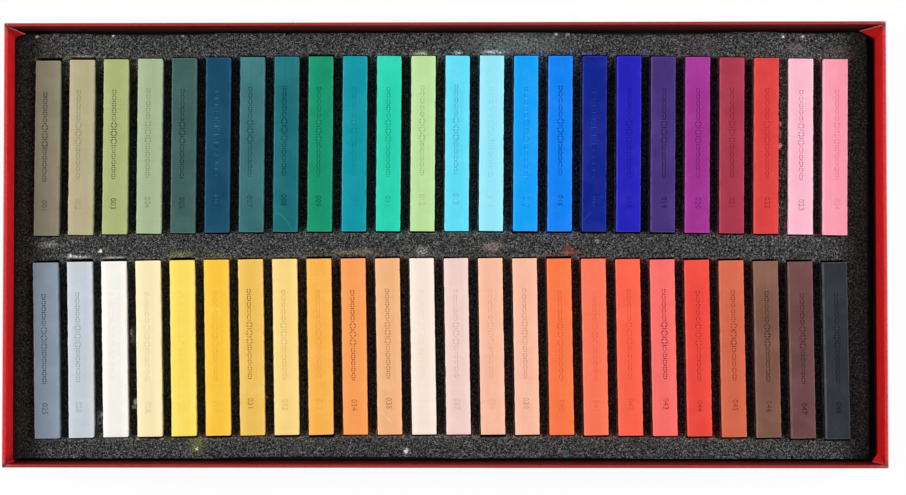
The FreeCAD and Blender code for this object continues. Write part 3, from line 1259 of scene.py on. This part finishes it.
@dataclass
class Foam:
    """The slotted insert and the plain backing that it lies on."""

    nests: dict[Row, list[Nest]]
    insert_finish: Material
    backing_finish: Material
    grid: float = 0.55 * MM
    press: float = 2.3 * MM
    shaded_margin: float = 11.0 * MM
    snips: tuple[tuple[int, float, float], ...] = ((-1, 5.3 * MM, 2.6 * MM), (1, 3.5 * MM, 2.0 * MM))
    slack: tuple[tuple[int, float, float, float], ...] = (
        (1, -109.0 * MM, 24.0 * MM, 0.7 * MM),
        (1, 76.0 * MM, 30.0 * MM, 0.9 * MM),
        (1, 136.0 * MM, 14.0 * MM, 0.6 * MM),
        (-1, -40.0 * MM, 44.0 * MM, 0.7 * MM),
        (-1, 40.0 * MM, 30.0 * MM, 0.4 * MM),
    )
    slack_depth: float = 3.0 * MM
    strip_depths: dict[Row, dict[int, float]] = field(
        default_factory=lambda: {Row.FAR: {22: 0.08}, Row.NEAR: {20: 0.8}}
    )
    long_ramps: dict[Row, dict[int, float]] = field(
        default_factory=lambda: {
            Row.FAR: {1: 0.32, 2: 0.20, 3: 0.16, 15: 0.20, 16: 0.26, 17: 0.14},
            Row.NEAR: {},
        }
    )
    corner_radius: float = 1.6 * MM
    skin: float = 0.25 * MM
    lip: float = 0.22 * MM
    lip_share: float = 0.25
    strip_play: tuple[float, float] = (0.8, 1.15)
    ramp_play: tuple[float, float] = (0.02, 0.09)
    halo: float = 0.45 * MM
    halo_play: tuple[float, float] = (0.02, 0.22)
    halo_back: float = 6 * MM
    blot: float = 0.55 * MM
    blot_least: float = -0.5
    blot_most: tuple[float, float] = (0.9, 0.4)
    blot_back: float = 0.4 * MM
    blot_squeeze: float = 1.5
    # Painted shade on the foam: the sunken strips, and the end margins in the end walls' shadow.
    dark_from: float = 0.25 * MM
    dark_over: float = 1.2 * MM
    dark_strip: float = 0.52
    dark_margins: tuple[float, float] = (0.83, 0.79)
    margin_power: float = 0.6
    crumb_power: float = 1.5
    wall_margin: float = 2.0 * MM
    wall_dust: float = 0.4
    wall_levels: tuple[float, ...] = (3.4 * MM, 5.4 * MM)
    grains: tuple[tuple[str, float, float, float, str], ...] = (
        ("foam_grain", 0.85 * MM, 0.40 * MM, 0.5, "top"),
        ("foam_wave", 9.0 * MM, 0.16 * MM, 0.7, "top"),
        ("foam_wall", 1.4 * MM, 0.22 * MM, 0.6, "side"),
    )
    backing_grain: float = 1.6 * MM
    backing_depth: float = 0.20 * MM
    backing_cuts: tuple[int, int, int] = (209, 104, 1)
    backing_flat: float = 0.1 * MM
    close: float = 1e-6
    chance: random.Random = field(default_factory=lambda: random.Random(48))

    def _lines(self) -> list[np.ndarray]:
        """Lay out the grid lines of the top that run from its near edge to its far edge.

        Returns:
            The lines from left to right, each six points from near to far.
        """
        low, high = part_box("foam_insert")
        lines = []

        def line(near: Nest, far: Nest, side: int) -> np.ndarray:
            """Run a line along one side of a near slot and of the far slot behind it.

            Args:
                near: The near slot.
                far: The far slot.
                side: -1 for the left, 1 for the right.

            Returns:
                The line's six points.
            """
            near_low, near_high = near.corner(side, -1), near.corner(side, 1)
            far_low, far_high = far.corner(side, -1), far.corner(side, 1)
            ends = (near_low[0], low.y), (far_high[0], high.y)
            return np.array([ends[0], near_low, near_high, far_low, far_high, ends[1]])

        for near, far in zip(self.nests[Row.NEAR], self.nests[Row.FAR]):
            lines += [line(near, far, -1), line(near, far, 1)]
        first, last = lines[0].copy(), lines[-1].copy()
        first[:, 0], last[:, 0] = low.x, high.x
        return [first, *lines, last]

    def build_insert(self) -> Piece:
        """Build the insert as one skin: its cut top, the walls of its slots and its underside.

        Returns:
            The insert, closed, with its grain in its shape.
        """
        low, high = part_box("foam_insert")
        lines = self._lines()
        columns = [max(2, round((b[2][0] - a[2][0]) / self.grid)) for a, b in zip(lines, lines[1:])]
        rows = [max(2, round((b - a) / self.grid)) for a, b in zip(lines[1][:, 1], lines[1][1:, 1])]
        nx, ny = sum(columns), sum(rows)
        bpy.ops.object.select_all(action="DESELECT")
        bpy.ops.mesh.primitive_grid_add(x_subdivisions=nx, y_subdivisions=ny, size=1.0)
        foam = named("cut_foam_insert")
        co = points(foam)
        ix = np.rint((co[:, 0] + 0.5) * nx).astype(int)
        iy = np.rint((co[:, 1] + 0.5) * ny).astype(int)
        (wide, start), (tall, begin) = self._spans(columns), self._spans(rows)
        cx, cy = wide[ix], tall[iy]
        u = (ix - start[cx]) / np.array(columns)[cx]
        v = (iy - begin[cy]) / np.array(rows)[cy]
        table = np.array(lines)
        left = table[cx, cy] * (1 - v)[:, None] + table[cx, cy + 1] * v[:, None]
        right = table[cx + 1, cy] * (1 - v)[:, None] + table[cx + 1, cy + 1] * v[:, None]
        co[:, :2] = left * (1 - u)[:, None] + right * u[:, None]
        co[:, 2] = high.z - self.skin - self._sag(cx, cy, v)
        move_points(foam, co)
        corner = np.empty(len(foam.data.loops), int)
        foam.data.loops.foreach_get("vertex_index", corner)
        corner = corner.reshape(-1, 4)
        face_x, face_y = ix[corner].min(1), iy[corner].min(1)
        slotted = (wide[face_x] % 2 == 1) & np.isin(tall[face_y], (1, 3))
        mesh = bmesh.new()
        mesh.from_mesh(foam.data)
        mesh.faces.ensure_lookup_table()
        bmesh.ops.delete(mesh, geom=[mesh.faces[i] for i in np.flatnonzero(slotted)], context="FACES")
        mesh.to_mesh(foam.data)
        mesh.free()
        self._round_outline(foam, "foam_insert")
        self._snip(foam)
        self._slacken(foam)
        self._soften(foam)
        self._dust(foam)
        self._shade(foam, high.z)
        self._deepen(foam, low.z, high.z)
        self._roughen(foam, "foam_insert")
        return foam

    @staticmethod
    def _spans(counts: list[int]) -> tuple[np.ndarray, np.ndarray]:
        """Return which span each grid line belongs to, and the line that each span starts at."""
        spans = np.repeat(np.arange(len(counts)), counts).tolist() + [len(counts) - 1]
        return np.array(spans), np.concatenate([[0], np.cumsum(counts)])

    def _sag(self, cx: np.ndarray, cy: np.ndarray, v: np.ndarray) -> np.ndarray:
        """Work out how far each point of the top lies below the foam's own level.

        Args:
            cx: Each point's column.
            cy: Each point's row of the grid.
            v: Its place along the row of the grid.

        Returns:
            The drop at each point, in metres.
        """
        drop = np.zeros(len(v))
        for row, band in ((Row.NEAR, 1), (Row.FAR, 3)):
            for n in range(1, len(FAR_TONES)):
                inside = (cx == 2 * n) & ((cy == band) | ((cy == band + 1) & (v == 0)))
                t = np.where(cy[inside] == band, v[inside], 1.0)
                depth = self.strip_depths[row].get(n, 1.0) * self.press
                depth *= self.chance.uniform(*self.strip_play)
                near, far = (self.chance.uniform(*self.ramp_play) for _ in range(2))
                far = self.long_ramps[row].get(n, far)
                ends = np.clip(t / near, 0, 1) * np.clip((1 - t) / far, 0, 1)
                drop[inside] += depth * ends * ends * (3 - 2 * ends)
        return drop

    def _dust(self, foam: Piece) -> None:
        """Paint the chalk that the sticks left round their slots, and its crumbs and smears.

        Args:
            foam: The foam's top.
        """
        co = points(foam)
        colour = np.zeros((len(co), 4))

        def lay(strength: np.ndarray, shade: Shade) -> None:
            """Lay chalk wherever it lies thicker than what is there."""
            better = strength > colour[:, 3]
            colour[better, :3] = linear(shade)[:3]
            colour[better, 3] = strength[better]

        for nest in (n for row in self.nests.values() for n in row):
            c, s = math.cos(nest.row.lean), math.sin(nest.row.lean)
            x, y = co[:, 0] - nest.middle.x, co[:, 1] - nest.middle.y
            sideways = x * c + y * s
            across = np.abs(sideways) - nest.half_width - nest.side_gap
            along = -x * s + y * c
            for end in (-1, 1):
                beyond = end * along - nest.half_length - nest.end_gaps[end > 0]
                away = np.hypot(np.maximum(across, 0), np.maximum(beyond, 0))
                much = self.chance.uniform(*self.halo_play)
                lay(much * np.exp(-away / self.halo) * (beyond > -self.halo_back), nest.tone.shade)
                for side in (-1, 1):
                    squeezed = np.maximum(beyond, 0) * self.blot_squeeze
                    spot = np.hypot(sideways * side - nest.half_width, squeezed)
                    much = self.chance.uniform(self.blot_least, self.blot_most[end > 0])
                    blot = np.exp(-((spot / self.blot) ** 2)) * (beyond > -self.blot_back)
                    lay(much * blot, nest.tone.shade)
        for x, y, wide, deep, shade, much in CRUMBS:
            away = ((co[:, 0] - x * MM) / (wide * MM)) ** 2 + ((co[:, 1] - y * MM) / (deep * MM)) ** 2
            lay(much * np.exp(-(away**self.crumb_power)), shade)
        paint(foam, "dust", colour)

    def _deepen(self, foam: Piece, low: float, high: float) -> None:
        """Pull the open edges of the top down into walls, and close the underside.

        Args:
            foam: The foam's top.
            low: The underside's height.
            high: The top's height.
        """
        with Bench(foam) as bench:
            bench.rim()
            for level in (*(high - depth for depth in self.wall_levels), low):
                bpy.ops.mesh.extrude_edges_move()
                bpy.ops.transform.resize(value=(1.0, 1.0, 0.0), center_override=(0.0, 0.0, level))
            bpy.ops.mesh.fill(use_beauty=False)
            bpy.ops.mesh.select_all(action="SELECT")
            bpy.ops.mesh.normals_make_consistent(inside=False)

    def _round_outline(self, piece: Piece, node: str) -> None:
        """Round the four upright corners of a slab by drawing its points in.

        Args:
            piece: The slab.
            node: The node that it replaces.
        """
        low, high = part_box(node)
        co = points(piece)
        for side in (-1, 1):
            for end in (-1, 1):
                edge = np.array((high.x if side > 0 else low.x, high.y if end > 0 else low.y))
                heart = edge - np.array((side, end)) * self.corner_radius
                off = (co[:, :2] - heart) * (side, end)
                near = (off > 0).all(axis=1)
                reach = off[near].max(axis=1) / np.hypot(off[near, 0], off[near, 1])
                co[near, :2] = heart + off[near] * reach[:, None] * (side, end)
        move_points(piece, co)

    def _snip(self, foam: Piece) -> None:
        """Draw the two far corners in, clear of the paper that is folded there.

        Args:
            foam: The foam's top.
        """
        low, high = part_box("foam_insert")
        co = points(foam)
        for side, across, down in self.snips:
            edge = high.x if side > 0 else low.x
            inward = side * (edge - co[:, 0])
            behind = high.y - co[:, 1]
            short = inward / across + behind / down
            near = (inward < across) & (behind < down) & (short < 1.0)
            share = (1.0 - short[near]) / (1.0 / across**2 + 1.0 / down**2)
            co[near, 0] -= side * share / across
            co[near, 1] -= share / down
        move_points(foam, co)

    def _slacken(self, foam: Piece) -> None:
        """Draw the long edges in where the foam was cut short of the wall.

        Args:
            foam: The foam's top.
        """
        low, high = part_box("foam_insert")
        co = points(foam)
        for end, middle, half, depth in self.slack:
            behind = (high.y - co[:, 1]) if end > 0 else (co[:, 1] - low.y)
            share = np.clip(1.0 - ((co[:, 0] - middle) / half) ** 2, 0.0, 1.0) ** 0.5
            co[:, 1] -= end * depth * share * fade(behind, self.slack_depth)
        move_points(foam, co)

    def _shade(self, foam: Piece, level: float) -> None:
        """Paint shade on the foam: the sunken strips, and the two end margins in the end walls' shadow.

        Args:
            foam: The foam's top.
            level: The height of the part's own top.
        """
        low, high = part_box("foam_insert")
        co = points(foam)
        # Painted shade: the sunken strips and the end margins are painted dark.
        sunk = np.clip((level - self.skin - co[:, 2] - self.dark_from) / self.dark_over, 0.0, 1.0)
        inward = np.minimum(co[:, 0] - low.x, high.x - co[:, 0])
        margin = fade(inward, self.shaded_margin) ** self.margin_power
        margin *= np.where(co[:, 0] < 0, *self.dark_margins)
        paint(foam, "painted_foam_shade", np.maximum(self.dark_strip * sunk, margin))

    def _soften(self, foam: Piece) -> None:
        """Round the cut edges of the top a little.

        Args:
            foam: The foam's top.
        """
        mesh = bmesh.new()
        mesh.from_mesh(foam.data)
        edge = {v.index for v in mesh.verts if v.is_boundary}
        beside = {e.other_vert(v).index for v in mesh.verts if v.is_boundary for e in v.link_edges}
        for v in mesh.verts:
            if v.index in edge:
                v.co.z -= self.lip
            elif v.index in beside:
                v.co.z -= self.lip * self.lip_share
        mesh.to_mesh(foam.data)
        mesh.free()

    def _roughen(self, foam: Piece, node: str) -> None:
        """Break up the cut faces into open grain, leave the underside flat and wipe the walls.

        Args:
            foam: The closed foam.
            node: The node that it replaces.
        """
        low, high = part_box(node)
        co = points(foam)
        x, y, z = co.T
        levels = [high.z - depth for depth in self.wall_levels]
        wall = np.isclose(z[:, None], levels, atol=self.close).any(axis=1)
        under = np.isclose(z, low.z, atol=self.close)
        member(foam, "top", ~wall & ~under)
        member(foam, "side", wall)
        inward = np.minimum.reduce([x - low.x, high.x - x, y - low.y, high.y - y])
        left = np.where(inward < self.wall_margin, 0.0, self.wall_dust)
        self._wipe(foam, np.where(wall | under, left, 1.0))
        for name, size, depth, level, group in self.grains:
            rugged(foam, clouds(name, size, 1), depth, level, group)

    def _wipe(self, foam: Piece, share: np.ndarray) -> None:
        """Leave a share of the chalk dust on each vertex.

        Args:
            foam: The foam.
            share: What stays on each vertex, 0 to 1.
        """
        layer = foam.data.attributes["dust"]
        colour = np.empty(len(share) * 4, np.float32)
        layer.data.foreach_get("color", colour)
        colour = colour.reshape(-1, 4)
        colour[:, 3] *= share
        layer.data.foreach_set("color", colour.ravel())

    def build_backing(self) -> Piece:
        """Build the plain sheet of foam beneath the insert.

        Returns:
            The sheet, with its grain in its shape.
        """
        low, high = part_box("foam_backing")
        backing = block("plain_foam_backing", low, high)
        with Bench(backing) as bench:
            for axis, cuts in enumerate(self.backing_cuts):
                bench.edges(lambda middle, e: abs((e.verts[0].co - e.verts[1].co).normalized()[axis]) > 0.99)
                bpy.ops.mesh.subdivide(number_cuts=cuts)
        self._round_outline(backing, "foam_backing")
        member(backing, "face", points(backing)[:, 2] > low.z + self.backing_flat)
        grain = clouds("backing_grain", self.backing_grain, 1)
        return rugged(backing, grain, self.backing_depth, 1.0, "face")

    def dress(self) -> None:
        """Build both sheets of foam and hand them to the part."""
        insert = self.build_insert()
        backing = self.build_backing()
        for piece, node, finish, slot in (
            (insert, "foam_insert", self.insert_finish, Slot.FOAM),
            (backing, "foam_backing", self.backing_finish, Slot.BACKING),
        ):
            dress(piece, finish)
            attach(piece, "foam")
            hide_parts(node)


@dataclass
class StickForm:
    """The form in the press that every stick is made in, with its stamped border."""

    half_width: float = 4.50 * MM
    half_length: float = 32.45 * MM
    half_height: float = 4.52 * MM
    edge: float = 0.22 * MM
    border_start: float = 21.3 * MM
    border_end: float = -11.8 * MM
    number_at: float = -21.1 * MM
    stamp_depth: float = 0.28 * MM
    stroke: float = 0.44 * MM
    proud: float = 0.03 * MM
    gap: float = 0.42 * MM
    large_mark: tuple[float, float] = (2.9 * MM, 2.2 * MM)
    small_mark: tuple[float, float] = (2.0 * MM, 1.6 * MM)
    large_reach: float = 4.6 * MM
    lead: float = 1.0 * MM
    bar_share: float = 0.8
    figure_size: float = 2.9 * MM
    figure_share: float = 0.8
    nudges: tuple[float, ...] = (0.0, 0.05 * MM, -0.07 * MM, 0.11 * MM, -0.13 * MM, 0.17 * MM)
    nudge_aside: float = 0.3
    drift: tuple[float, float] = (-0.8, 1.1)
    play: tuple[float, float] = (0.25, 0.6)
    shallow: float = 0.20
    cuts: int = 59
    stroke_gap: float = 1.25
    weld: float = 0.001 * MM
    well_from: float = 0.03 * MM
    well_width: float = 0.8
    edge_reach: float = 1.1
    wave: tuple[float, float, float] = (11 * MM, 0.09 * MM, 0.5)
    chips: tuple[float, float, float] = (1.7 * MM, 0.30 * MM, 0.72)

    def build(self) -> Piece:
        """Shape the plain bar, about the origin.

        Returns:
            The bar, with soft edges and nothing stamped on it yet.
        """
        half = Vector((self.half_width, self.half_length, self.half_height))
        bar = block("pressed_bar", -half, half)
        with Bench(bar) as bench:
            bench.edges(lambda middle, e: True)
            bpy.ops.mesh.bevel(offset=self.edge, segments=2, profile=0.55, affect="EDGES")
            bench.edges(lambda middle, e: abs(e.verts[0].co.y - e.verts[1].co.y) > self.half_length)
            bpy.ops.mesh.subdivide(number_cuts=self.cuts)
        return bar

    def _stroke(self, across: float, along: float, length: float, turn: float) -> Piece:
        """Add one stroke of a stamp, a thin bar that tapers downwards.

        Args:
            across: The place of its middle across the stick.
            along: The place of its middle along the stick.
            length: Its length.
            turn: Its angle in plan, from straight across the stick.

        Returns:
            The stroke.
        """
        depth, square = self.stamp_depth + self.proud, (0.0, 0.0, math.pi / 4)
        bpy.ops.mesh.primitive_cone_add(
            vertices=4, radius1=0.40, radius2=math.sqrt(0.5), depth=depth, rotation=square
        )
        stroke = seated(named("stroke"))
        stroke.scale = (length, self.stroke, 1.0)
        stroke.rotation_euler = (0.0, 0.0, turn)
        stroke.location = (across, along, self.half_height + self.proud - depth / 2)
        return seated(stroke)

    def _lozenge(self, along: float, width: float, length: float) -> list[Piece]:
        """Lay out an open lozenge of four strokes that don't touch.

        Args:
            along: The place of its middle along the stick.
            width: Its width.
            length: Its length.

        Returns:
            The four strokes.
        """
        reach = math.hypot(width / 2, length / 2)
        reach -= self.stroke_gap * self.stroke
        turn = math.atan2(length, width)
        return [
            self._stroke(sx * width / 4, along + sy * length / 4, reach, -sx * sy * turn)
            for sx in (-1, 1)
            for sy in (-1, 1)
        ]

    def border(self) -> Piece:
        """Lay out the border: open lozenges between fine bars, larger in its middle.

        Returns:
            The border's stamp.
        """
        marks = []
        spot = self.border_start
        while spot > self.border_end:
            off = abs(spot - self.lead - (self.border_start + self.border_end) / 2)
            width, length = self.large_mark if off < self.large_reach else self.small_mark
            marks.extend(self._lozenge(spot - length / 2, width, length))
            spot -= length + self.gap
            marks.append(self._stroke(0.0, spot, width * self.bar_share, 0.0))
            spot -= self.gap
        return joined(marks)

    def _stamped(self, bar: Piece, stamp: Piece) -> Piece:
        """Press a stamp into the bar and throw the stamp away."""
        modified(bar, "BOOLEAN", operation="DIFFERENCE", solver="EXACT", object=stamp)
        bpy.data.objects.remove(stamp)
        return modified(bar, "TRIANGULATE", min_vertices=5)

    def _figures(self, number: int) -> Piece:
        """Make the stamp of a stick's running number, read from the stick's right side.

        Args:
            number: The number.

        Returns:
            The stamp.
        """
        depth = self.stamp_depth * self.figure_share
        bpy.ops.object.text_add(location=(0.0, 0.0, 0.0))
        words = bpy.context.object
        words.data.body = f"{number:03d}"
        words.data.size = self.figure_size
        words.data.extrude = (depth + self.proud) / 2
        words.data.resolution_u = 2
        words.data.align_x = words.data.align_y = "CENTER"
        alone(words)
        bpy.ops.object.convert(target="MESH")
        stamp = named("figures")
        stamp.rotation_euler = (0.0, 0.0, -math.pi / 2)
        stamp.location = (0.0, self.number_at, self.half_height + (self.proud - depth) / 2)
        seated(stamp)
        with Bench(stamp):
            bpy.ops.mesh.select_all(action="SELECT")
            bpy.ops.mesh.remove_doubles(threshold=self.weld)
        return stamp

    def stick(self, nest: Nest, number: int, form: Piece, border: Piece) -> Piece:
        """Take one stick out of the form, stamp it and lay it in its nest.

        Args:
            nest: Where the stick lies.
            number: Its running number in the box.
            form: The bar that is copied.
            border: The border's stamp, which is copied.

        Returns:
            The stick, a little uneven and worn along its edges.
        """
        chance = random.Random(100 + number)
        stamp = joined([self._figures(number), copied(border)])
        (first, gain), (side, end) = self.drift, self.play
        last = len(FAR_TONES) - 1
        aside = (first + gain * (nest.number - 1) / last + chance.uniform(-side, side)) * MM
        ahead = chance.uniform(-end, end) * MM
        shy = self.shallow * (1.0 - abs(nest.tone.stamp)) * MM
        for nudge in self.nudges:
            bar, press = copied(form), copied(stamp)
            press.location = (aside + self.nudge_aside * nudge, ahead + nudge, shy)
            self._stamped(bar, seated(press))
            if whole(bar):
                break
            log.info("stick %d: stamped again, %.2f mm on", number, nudge / MM)
            bpy.data.objects.remove(bar)
        bpy.data.objects.remove(stamp)
        bar.name = bar.data.name = f"stick_{number:02d}_{nest.tone.name}"
        x, _, z = points(bar).T
        low = (z < self.half_height - self.well_from) & (z > 0.0)
        paint(bar, "well", (low & (np.abs(x) < self.half_width * self.well_width)).astype(float))
        bar.rotation_euler = (0.0, 0.0, nest.row.lean)
        bar.location = nest.middle
        seated(bar)
        size, depth, level = self.wave
        rugged(bar, clouds(f"press_{number}", size, 1), depth, level)
        co = (points(bar) - np.array(nest.middle)) @ np.array(Matrix.Rotation(nest.row.lean, 3, "Z"))
        half = np.array((self.half_width, self.half_length, self.half_height))
        member(bar, "edges", (np.abs(co) > half - self.edge * self.edge_reach).sum(axis=1) > 1)
        size, depth, level = self.chips
        return rugged(bar, clouds(f"chips_{number}", size), depth, level, "edges")


@dataclass
class Sticks:
    """All 48 sticks."""

    nests: dict[Row, list[Nest]]
    form: StickForm = field(default_factory=StickForm)
    flat_angle: float = math.radians(28)
    scratches: dict[int, Scratch] = field(
        default_factory=lambda: {
            8: (-3.6, 2.6, -27.66, -1.21, -0.162),
            35: (-3.4, 0.6, -27.2, -0.9, 0.05),
            17: (-4.0, -1.2, -24.0, 1.1, 0.0),
        }
    )

    def dress(self) -> None:
        """Press, place and finish every stick."""
        bar, border = self.form.build(), self.form.border()
        size = (self.form.half_width, self.form.half_length)
        for number, nest in enumerate(self.nests[Row.FAR] + self.nests[Row.NEAR], 1):
            stick = self.form.stick(nest, number, bar, border)
            scratch = self.scratches.get(number)
            finish = PastelFinish(nest.tone, nest.middle, nest.row.lean, *size, number, scratch)
            dress(stick, finish.material())
            alone(stick)
            bpy.ops.object.shade_smooth_by_angle(angle=self.flat_angle)
            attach(stick, nest.body)
            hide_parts(nest.node)
        bpy.data.objects.remove(bar)
        bpy.data.objects.remove(border)


@dataclass
class Studio:
    """The camera, the lamps, the world and the floor."""

    lens: float = 59.2
    place: tuple[float, float, float] = (0.00918, -0.01179, 0.56138)
    tilt: tuple[float, float, float] = (1.127, 0.617, -0.027)
    sensor: float = 36.0
    nearest: float = 0.01
    lamp_place: tuple[float, float, float] = (0.92, 0.08, 0.56)
    lamp_size: tuple[float, float] = (0.45, 0.40)
    lamp_power: float = 10.3
    fill: float = 0.19
    floor_size: float = 12.0
    floor_drop: float = 0.0002
    floor_grey: float = 0.9
    floor_glow: float = 0.93

    def camera(self) -> None:
        """Hang the camera over the tray."""
        data = bpy.data.cameras.new("camera")
        data.lens = self.lens
        data.sensor_width = self.sensor
        data.clip_start = self.nearest
        camera = bpy.data.objects.new("camera", data)
        camera.location = self.place
        camera.rotation_euler = [math.radians(a) for a in self.tilt]
        bpy.context.scene.collection.objects.link(camera)
        bpy.context.scene.camera = camera

    def lamp(self, name: str, place: Vector) -> None:
        """Set up one soft box aimed at the tray.

        Args:
            name: The lamp's name.
            place: Where it stands.
        """
        data = bpy.data.lights.new(name, "AREA")
        data.shape = "RECTANGLE"
        data.size, data.size_y = self.lamp_size
        data.energy = self.lamp_power
        lamp = bpy.data.objects.new(name, data)
        lamp.location = place
        lamp.rotation_euler = (-place).to_track_quat("-Z", "Y").to_euler()
        bpy.context.scene.collection.objects.link(lamp)

    def _seen(self, tree: bpy.types.NodeTree) -> Socket:
        """Add nodes that are 1 where a surface is seen: straight, in gloss or through glass.

        Args:
            tree: The node tree.

        Returns:
            The 0 or 1.
        """
        path = add_node(tree, "LightPath").outputs
        seen = path["Is Camera Ray"]
        for other in ("Is Glossy Ray", "Is Transmission Ray"):
            seen = add_node(tree, "Math", {0: seen, 1: path[other]}, operation="MAXIMUM").outputs[0]
        return seen

    def world(self) -> None:
        """Fill the room with an even, weak light that looks white where it is seen."""
        world = bpy.data.worlds.new("studio")
        bpy.context.scene.world = world
        world.use_nodes = True
        tree = world.node_tree
        strength = add_node(tree, "MapRange", {"Value": self._seen(tree), "To Min": self.fill, "To Max": 1.0})
        back = tree.nodes["Background"].inputs
        wire(tree, back["Strength"], strength.outputs["Result"])
        back["Color"].default_value = (1.0, 1.0, 1.0, 1.0)

    def floor(self) -> None:
        """Lay a plain white floor that keeps the tray's shadow."""
        bpy.ops.object.select_all(action="DESELECT")
        bpy.ops.mesh.primitive_plane_add(size=self.floor_size, location=(0.0, 0.0, -self.floor_drop))
        floor = seated(named("floor"))
        material = bpy.data.materials.new("floor_paint")
        material.use_nodes = True
        tree = material.node_tree
        tree.nodes.clear()
        share = add_node(tree, "Math", {0: self._seen(tree), 1: self.floor_glow}, operation="MULTIPLY")
        matt = add_node(tree, "BsdfDiffuse", {"Color": (self.floor_grey,) * 3 + (1.0,)})
        glow = add_node(tree, "Emission")
        mix = add_node(tree, "MixShader", {"Fac": share.outputs[0], 1: matt.outputs[0], 2: glow.outputs[0]})
        add_node(tree, "OutputMaterial", {"Surface": mix.outputs[0]})
        dress(floor, material)

    def build(self) -> None:
        """Set the whole studio up."""
        self.camera()
        self.world()
        self.floor()
        x, y, z = self.lamp_place
        for word, side in (("left", -1), ("right", 1)):
            self.lamp(f"{word}_soft_box", Vector((side * x, y, z)))
        bpy.context.scene.view_settings.view_transform = "Standard"


def main() -> None:
    """Build the tray, the foam and the sticks, and light them."""
    logging.basicConfig(level=logging.INFO, format="%(message)s")
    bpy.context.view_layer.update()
    Studio().build()
    nests = all_nests()
    tray = Tray(PaperFinish().material(), BoardFinish().material(), TapeFinish().material())
    tray.dress()
    backing = FoamFinish("grey_foam_backing", pit=(16, 16, 17), wall=(62, 62, 64), glint=(120, 120, 120))
    Foam(nests, FoamFinish().material(), backing.material()).dress()
    Sticks(nests).dress()


if __name__ == "__main__":
    main()
